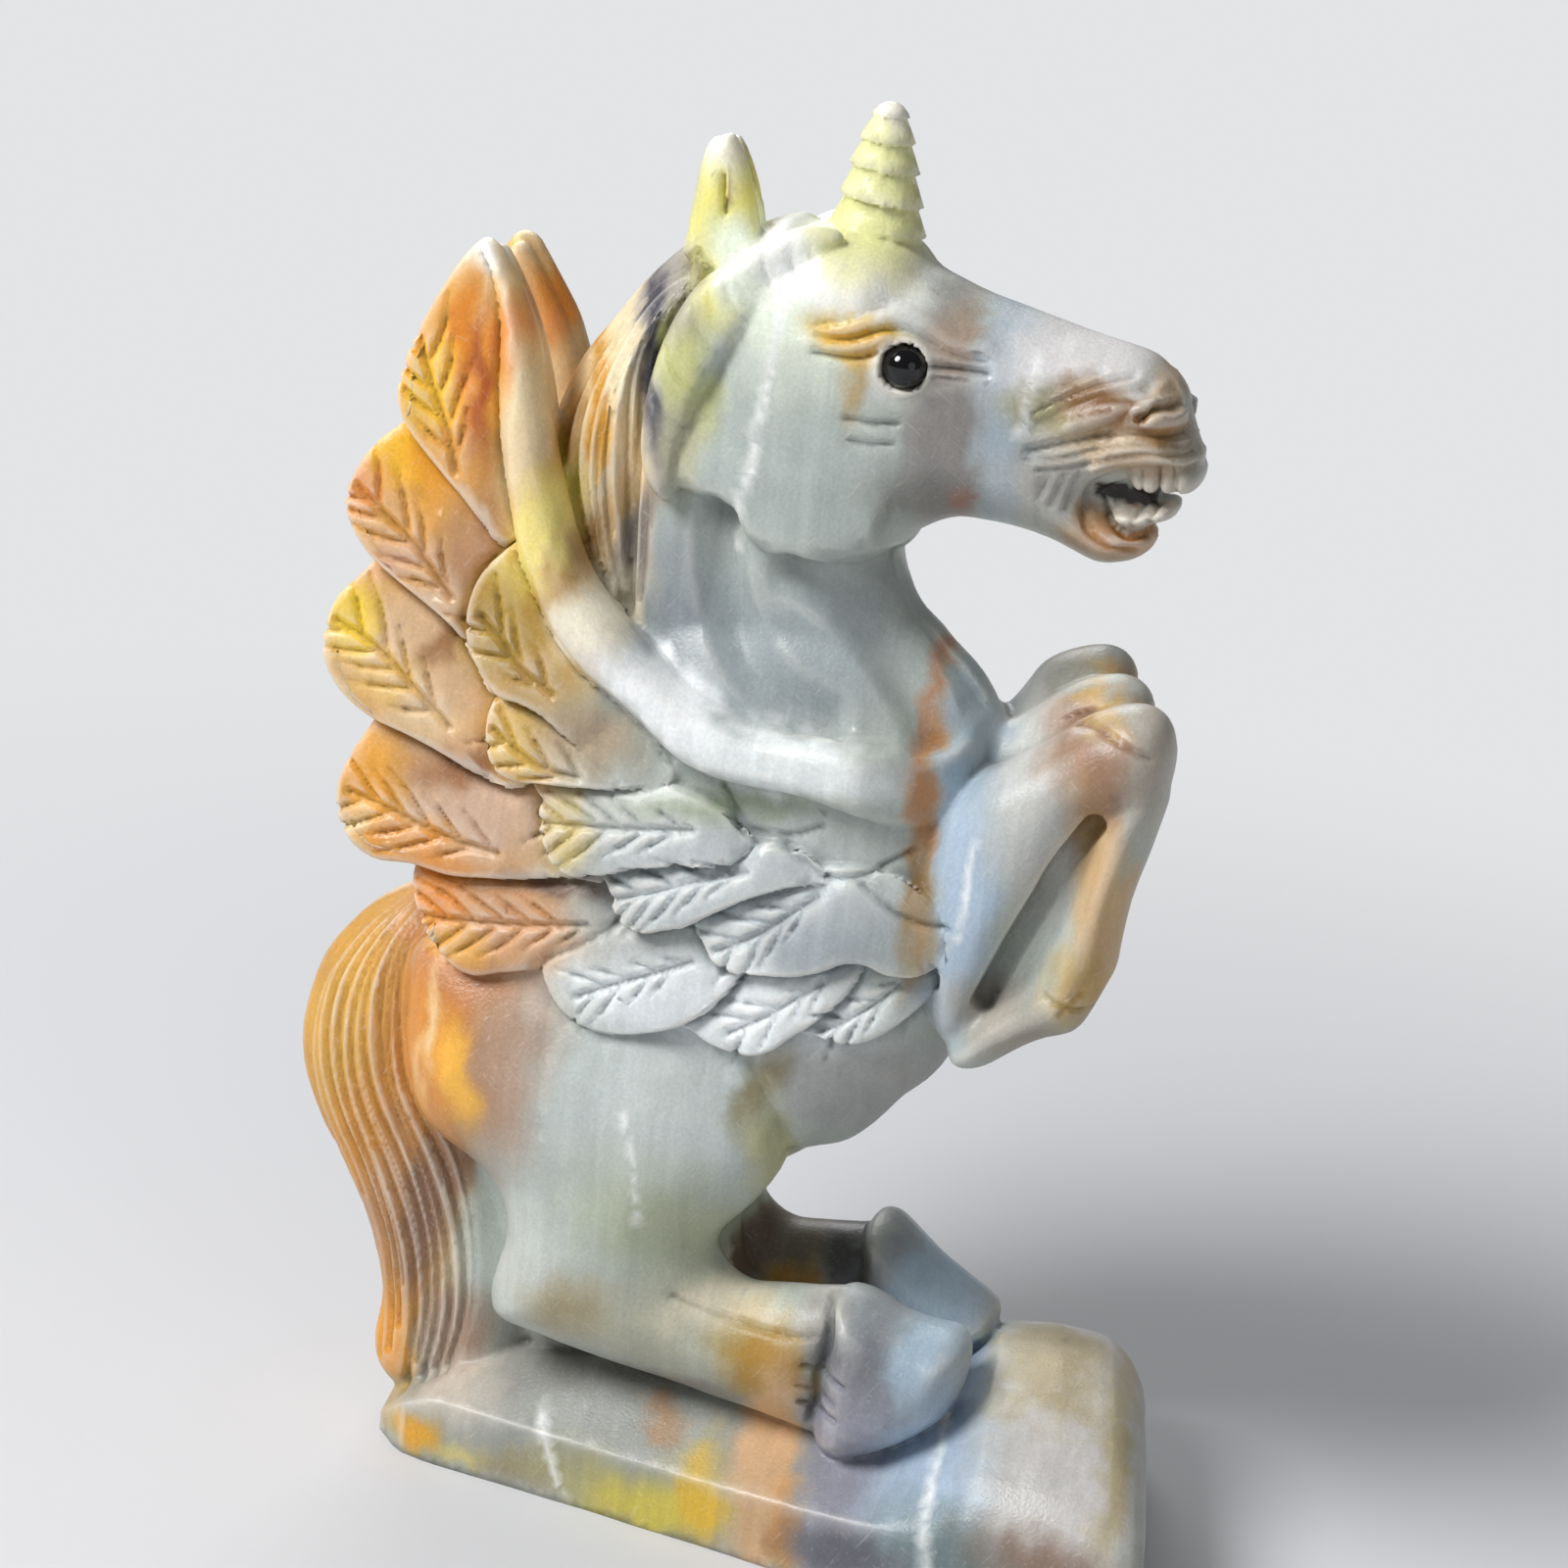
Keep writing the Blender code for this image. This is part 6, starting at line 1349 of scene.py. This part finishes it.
def polished_banded_stone():
    """Calcite onyx, carved with points and rubbed by hand: soft light inside, satin skin, sugary grain, with painted
    shade in the hollows and a painted highlight on the edges.
    """
    material, tree = new_material("polished_banded_stone")
    place = add(tree, "TexCoord").outputs["Object"]
    mm = add(tree, "Mapping", {"Vector": place, "Scale": (1000, 1000, 1000)}).outputs["Vector"]
    stain_and_painted_light = add(tree, "Attribute", attribute_name="stain_and_painted_light").outputs["Color"]
    hollow = add(tree, "Attribute", attribute_name="hollow").outputs["Fac"]

    # Thin upright growth bands, 1.2 mm apart, and clouds of about 6 mm
    bands = add(tree, "Mapping", {"Vector": mm, "Scale": (1 / BAND_MM, 0.25 / BAND_MM, 0.05 / BAND_MM)})
    bands = add(tree, "TexNoise", {"Vector": bands.outputs["Vector"], "Scale": 1.0, "Detail": 3.0,
                                   "Distortion": 0.4}).outputs["Fac"]
    bands = add(tree, "MapRange", {"Value": bands, "From Min": 0.3, "From Max": 0.7, "To Min": 0.93,
                                   "To Max": 1.06}).outputs["Result"]
    clouds = add(tree, "TexNoise", {"Vector": mm, "Scale": 1 / CLOUD_MM, "Detail": 5.0,
                                    "Roughness": 0.6}).outputs["Fac"]
    clouds = add(tree, "MapRange", {"Value": clouds, "From Min": 0.3, "From Max": 0.7, "To Min": 0.92,
                                    "To Max": 1.07}).outputs["Result"]
    # Crystal grains of about 0.35 mm, some of them white
    grain = add(tree, "TexNoise", {"Vector": mm, "Scale": 1 / GRAIN_MM, "Detail": 2.0}).outputs["Fac"]
    sugar = add(tree, "MapRange", {"Value": grain, "From Min": 0.35, "From Max": 0.7, "To Min": 0.95,
                                   "To Max": 1.07}).outputs["Result"]
    tone = add(tree, "Math", {0: bands, 1: clouds}, operation="MULTIPLY").outputs["Value"]
    tone = add(tree, "Math", {0: tone, 1: sugar}, operation="MULTIPLY").outputs["Value"]
    toned = add(tree, "VectorMath", {0: stain_and_painted_light, "Scale": tone}, operation="SCALE").outputs["Vector"]

    # Painted shade: hollows are darkened and warmed by how deep they lie; painted highlight: edges and fresh cuts are
    # paled
    deep = add(tree, "MapRange", {"Value": hollow, "From Min": 0.05, "From Max": 0.45}).outputs["Result"]
    dark = add(tree, "HueSaturation", {"Color": toned, "Saturation": 1.25, "Value": 0.52}).outputs["Color"]
    edge = add(tree, "MapRange", {"Value": hollow, "From Min": -0.06, "From Max": -0.3, "To Max": 0.4})
    colour = add(tree, "Mix", {"Factor": deep, "A": toned, "B": dark}, data_type="RGBA")
    colour = add(tree, "Mix", {"Factor": edge.outputs["Result"], "A": colour.outputs["Result"],
                               "B": linear("#f4f0e6")}, data_type="RGBA").outputs["Result"]

    # Tool scratches 0.3 mm wide and 4 mm long in two slants, pale where they bruise the skin
    strokes = []
    for slant in (0.6, -0.9):
        lie = add(tree, "Mapping", {"Vector": mm, "Rotation": (0.1, slant, 0.2), "Scale": (0.3, 0.3, 4.0)},
                  vector_type="TEXTURE")
        strokes.append(add(tree, "TexNoise", {"Vector": lie.outputs["Vector"], "Scale": 1.0,
                                              "Detail": 3.0}).outputs["Fac"])
    scratch = add(tree, "Math", {0: strokes[0], 1: strokes[1]}, operation="MAXIMUM").outputs["Value"]
    bruise = add(tree, "MapRange", {"Value": scratch, "From Min": 0.62, "From Max": 0.8, "To Max": 0.22})
    colour = add(tree, "Mix", {"Factor": bruise.outputs["Result"], "A": colour, "B": linear("#f2f0ea")},
                 data_type="RGBA").outputs["Result"]
    relief = add(tree, "Mix", {"Factor": 0.45, "A": grain, "B": scratch}, data_type="FLOAT").outputs["Result"]
    bump = add(tree, "Bump", {"Height": relief, "Distance": 0.14 * MM, "Strength": 0.55}).outputs["Normal"]
    rough = add(tree, "MapRange", {"Value": clouds, "From Min": 0.92, "From Max": 1.07, "To Min": 0.3,
                                   "To Max": 0.48}).outputs["Result"]
    rough = add(tree, "Math", {0: deep, 1: 0.18, 2: rough}, operation="MULTIPLY_ADD").outputs["Value"]

    shader = add(tree, "BsdfPrincipled", {"Base Color": colour, "Roughness": rough, "Normal": bump,
                                          "IOR": 1.49, "Subsurface Weight": 0.18,
                                          "Subsurface Radius": (1.0, 0.75, 0.5),
                                          "Subsurface Scale": 1.0 * MM})
    out = add(tree, "OutputMaterial")
    tree.links.new(shader.outputs["BSDF"], out.inputs["Surface"])
    return material


def polished_black_glass():
    """Black glass bead, fire polished: a hard mirror skin with a few faint rubbed patches."""
    material, tree = new_material("polished_black_glass")
    place = add(tree, "TexCoord").outputs["Object"]
    mm = add(tree, "Mapping", {"Vector": place, "Scale": (1000, 1000, 1000)}).outputs["Vector"]
    wisps = add(tree, "TexNoise", {"Vector": mm, "Scale": 1.4, "Detail": 4.0, "Distortion": 1.5}).outputs["Fac"]
    tint = add(tree, "ValToRGB", {"Fac": wisps})
    tint.color_ramp.elements[0].color = linear("#030304")
    tint.color_ramp.elements[1].color = linear("#0d0d10")
    rough = add(tree, "MapRange", {"Value": wisps, "From Min": 0.35, "From Max": 0.75, "To Min": 0.04,
                                   "To Max": 0.12}).outputs["Result"]
    shader = add(tree, "BsdfPrincipled", {"Base Color": tint.outputs["Color"], "Roughness": rough,
                                          "IOR": 1.52})
    out = add(tree, "OutputMaterial")
    tree.links.new(shader.outputs["BSDF"], out.inputs["Surface"])
    return material


def pale_studio_floor():
    """Matt pale card: plain, with a whisper of paper tooth, and the same pale to the camera far away."""
    material, tree = new_material("pale_studio_floor")
    place = add(tree, "TexCoord").outputs["Object"]
    tooth = add(tree, "TexNoise", {"Vector": place, "Scale": 900.0, "Detail": 2.0}).outputs["Fac"]
    bump = add(tree, "Bump", {"Height": tooth, "Distance": 0.05 * MM, "Strength": 0.2}).outputs["Normal"]
    shader = add(tree, "BsdfPrincipled", {"Base Color": linear("#d9dadd"), "Roughness": 0.9, "Normal": bump})
    ray = add(tree, "LightPath").outputs
    seen = add(tree, "Math", {0: ray["Is Camera Ray"], 1: ray["Is Glossy Ray"]}, operation="MAXIMUM")
    seen = add(tree, "Math", {0: seen.outputs["Value"], 1: ray["Is Transmission Ray"]}, operation="MAXIMUM")
    away = add(tree, "VectorMath", {0: place}, operation="LENGTH").outputs["Value"]
    far = add(tree, "MapRange", {"Value": away, "From Min": 0.08, "From Max": 0.32},
              interpolation_type="SMOOTHSTEP").outputs["Result"]
    far = add(tree, "Math", {0: far, 1: seen.outputs["Value"]}, operation="MULTIPLY").outputs["Value"]
    card = add(tree, "Emission", {"Color": linear("#e3e4e6"), "Strength": 1.0})
    mix = add(tree, "MixShader", {"Fac": far, 1: shader.outputs["BSDF"], 2: card.outputs["Emission"]})
    out = add(tree, "OutputMaterial")
    tree.links.new(mix.outputs["Shader"], out.inputs["Surface"])
    return material


# Pieces
def teeth():
    """The row of teeth under the lip, the lower teeth with the tongue, and the stone behind them."""
    upper = slab(UPPER_TEETH, 0.0, TEETH_HALF, 1.0, cell=0.6)
    lower = slab(LOWER_TEETH, 0.0, TEETH_HALF - 0.5, 1.2, cell=0.6)
    return [upper, lower, slab(THROAT, 0.0, TEETH_HALF - 2.2, 1.0, cell=0.6)]


def carve_stone():
    """The whole stone, from rough masses to the last fine cut."""
    rubbed = mesh_object("rubbed", rough_masses())
    fuse(rubbed, ROUGH_VOXEL, 8)
    stone = mesh_object("carved_stone", crisp_masses() + teeth() + [as_shape(rubbed)])
    fuse(stone, FINE_VOXEL, 2)
    write_points(stone, turn_horn(lay_feathers(read_points(stone), read_normals(stone))))
    points, normals = read_points(stone), read_normals(stone)
    points += normals * lumpy(points, 7.0, 0.16)[:, None]
    points += normals * press(points, normals, raised_lines())[:, None]
    cut = press(points, normals, feather_cuts() + hair_cuts() + body_cuts())
    points -= normals * cut[:, None]
    for side in (-1, 1):
        points = drill_socket(points, side)
    points[:, 2] = np.where(points[:, 2] < FLOOR_SNAP, 0.0, points[:, 2])
    write_points(stone, points)

    ends = np.empty(len(stone.data.edges) * 2, np.int32)
    stone.data.edges.foreach_get("vertices", ends)
    normals = read_normals(stone)
    # How deep each point lies below the skin around it, which the material reads for painted shade in hollows and a
    # painted highlight on edges
    hollow = np.sum(hollows(points, ends.reshape(-1, 2), HOLLOW_ROUNDS) * normals, axis=1)
    keep_on_points(stone, "hollow", hollow)
    thin = stone.modifiers.new("Thin", "DECIMATE")
    stone.data.calc_loop_triangles()
    thin.ratio = STONE_TRIANGLES / len(stone.data.loop_triangles)
    settle(stone)
    split_long_edges(stone)
    keep_on_points(stone, "stain_and_painted_light", stone_colours(read_points(stone)))
    stone.data.materials.append(polished_banded_stone())
    stone.data.shade_smooth()
    return stone


def split_long_edges(item):
    """Add points on the plain stretches, so that the stains have enough points to lie on."""
    work = bmesh.new()
    work.from_mesh(item.data)
    for _ in range(3):
        long_edges = [e for e in work.edges if e.calc_length() > LONGEST_EDGE * MM]
        bmesh.ops.subdivide_edges(work, edges=long_edges, cuts=1)
        bmesh.ops.triangulate(work, faces=[f for f in work.faces if len(f.verts) > 3])
    work.to_mesh(item.data)
    work.free()


def bead_eye(name, side, material):
    """One polished bead."""
    bpy.ops.mesh.primitive_uv_sphere_add(segments=BEAD_SEGMENTS, ring_count=BEAD_RINGS, radius=BEAD_R * MM)
    bead = bpy.context.object
    bead.name = name
    bead.rotation_euler = (math.radians(90), 0, 0)
    bead.location = (eye_place(side) + np.array(CARVING_SHIFT)) * MM
    bead.data.materials.append(material)
    bead.data.shade_smooth()
    return bead


# Studio
def lamp(name, place, energy, size, colour="#ffffff"):
    light = bpy.data.lights.new(name, "AREA")
    light.energy = energy
    light.shape = "DISK"
    light.size = size
    light.color = linear(colour)[:3]
    item = bpy.data.objects.new(name, light)
    item.location = place
    item.rotation_euler = (Vector(MIDDLE) - Vector(place)).to_track_quat("-Z", "Y").to_euler()
    bpy.context.scene.collection.objects.link(item)


def studio():
    bpy.ops.mesh.primitive_circle_add(vertices=96, radius=FLOOR_REACH, fill_type="NGON")
    floor = bpy.context.object
    floor.name = "studio_floor"
    floor.location.z = -0.02 * MM
    floor.data.materials.append(pale_studio_floor())
    lamp("key", (-0.36, -0.36, 0.56), 5.2, 0.32)
    lamp("fill", (0.55, -0.45, 0.30), 0.4, 0.5)
    lamp("back", (-0.25, 0.55, 0.45), 1.6, 0.4)
    world = bpy.data.worlds.new("soft_room")
    bpy.context.scene.world = world
    world.use_nodes = True
    world.node_tree.nodes["Background"].inputs["Color"].default_value = linear("#e6e8ec")
    world.node_tree.nodes["Background"].inputs["Strength"].default_value = 0.2
    bpy.context.scene.view_settings.view_transform = "Standard"


def camera():
    """Stands where the photograph was taken from, a little turned and rolled."""
    yaw, roll = math.radians(CAMERA_YAW), math.radians(CAMERA_ROLL)
    middle = Vector(MIDDLE)
    place = middle + Vector((CAMERA_AWAY * math.sin(yaw), -CAMERA_AWAY * math.cos(yaw), CAMERA_RISE))
    ahead = (middle - place).normalized()
    right = ahead.cross(Vector((0, 0, 1))).normalized()
    up = right.cross(ahead)
    right, up = (right * math.cos(roll) + up * math.sin(roll), up * math.cos(roll) - right * math.sin(roll))
    turn = Matrix((right, up, -ahead)).transposed().to_4x4()
    turn.translation = place
    data = bpy.data.cameras.new("camera")
    item = bpy.data.objects.new("camera", data)
    bpy.context.scene.collection.objects.link(item)
    item.matrix_world = turn
    data.sensor_width = 36
    pixels_per_mm, photo_width = 10.0, 1600
    data.lens = data.sensor_width * pixels_per_mm * (middle - place).length / MM / photo_width
    data.clip_start = 0.01
    bpy.context.scene.camera = item


CARVING_SHIFT = (0.0, 0.0, 0.0)
low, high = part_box("eye_right")
CARVING_SHIFT = (((low + high) / 2).x / MM - EYE_AT[0], 0.0, 0.0)
MIDDLE = (CARVING_SHIFT[0] * MM, 0.0, 0.078)

camera()
studio()
stone = carve_stone()
stone.location = np.array(CARVING_SHIFT) * MM
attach(stone, "root")
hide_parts("stone_carving")
glass = polished_black_glass()
for side, eye in ((-1, "eye_right"), (1, "eye_left")):
    bead = bead_eye(eye.replace("eye", "bead"), side, glass)
    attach(bead, "root")
    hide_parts(eye)
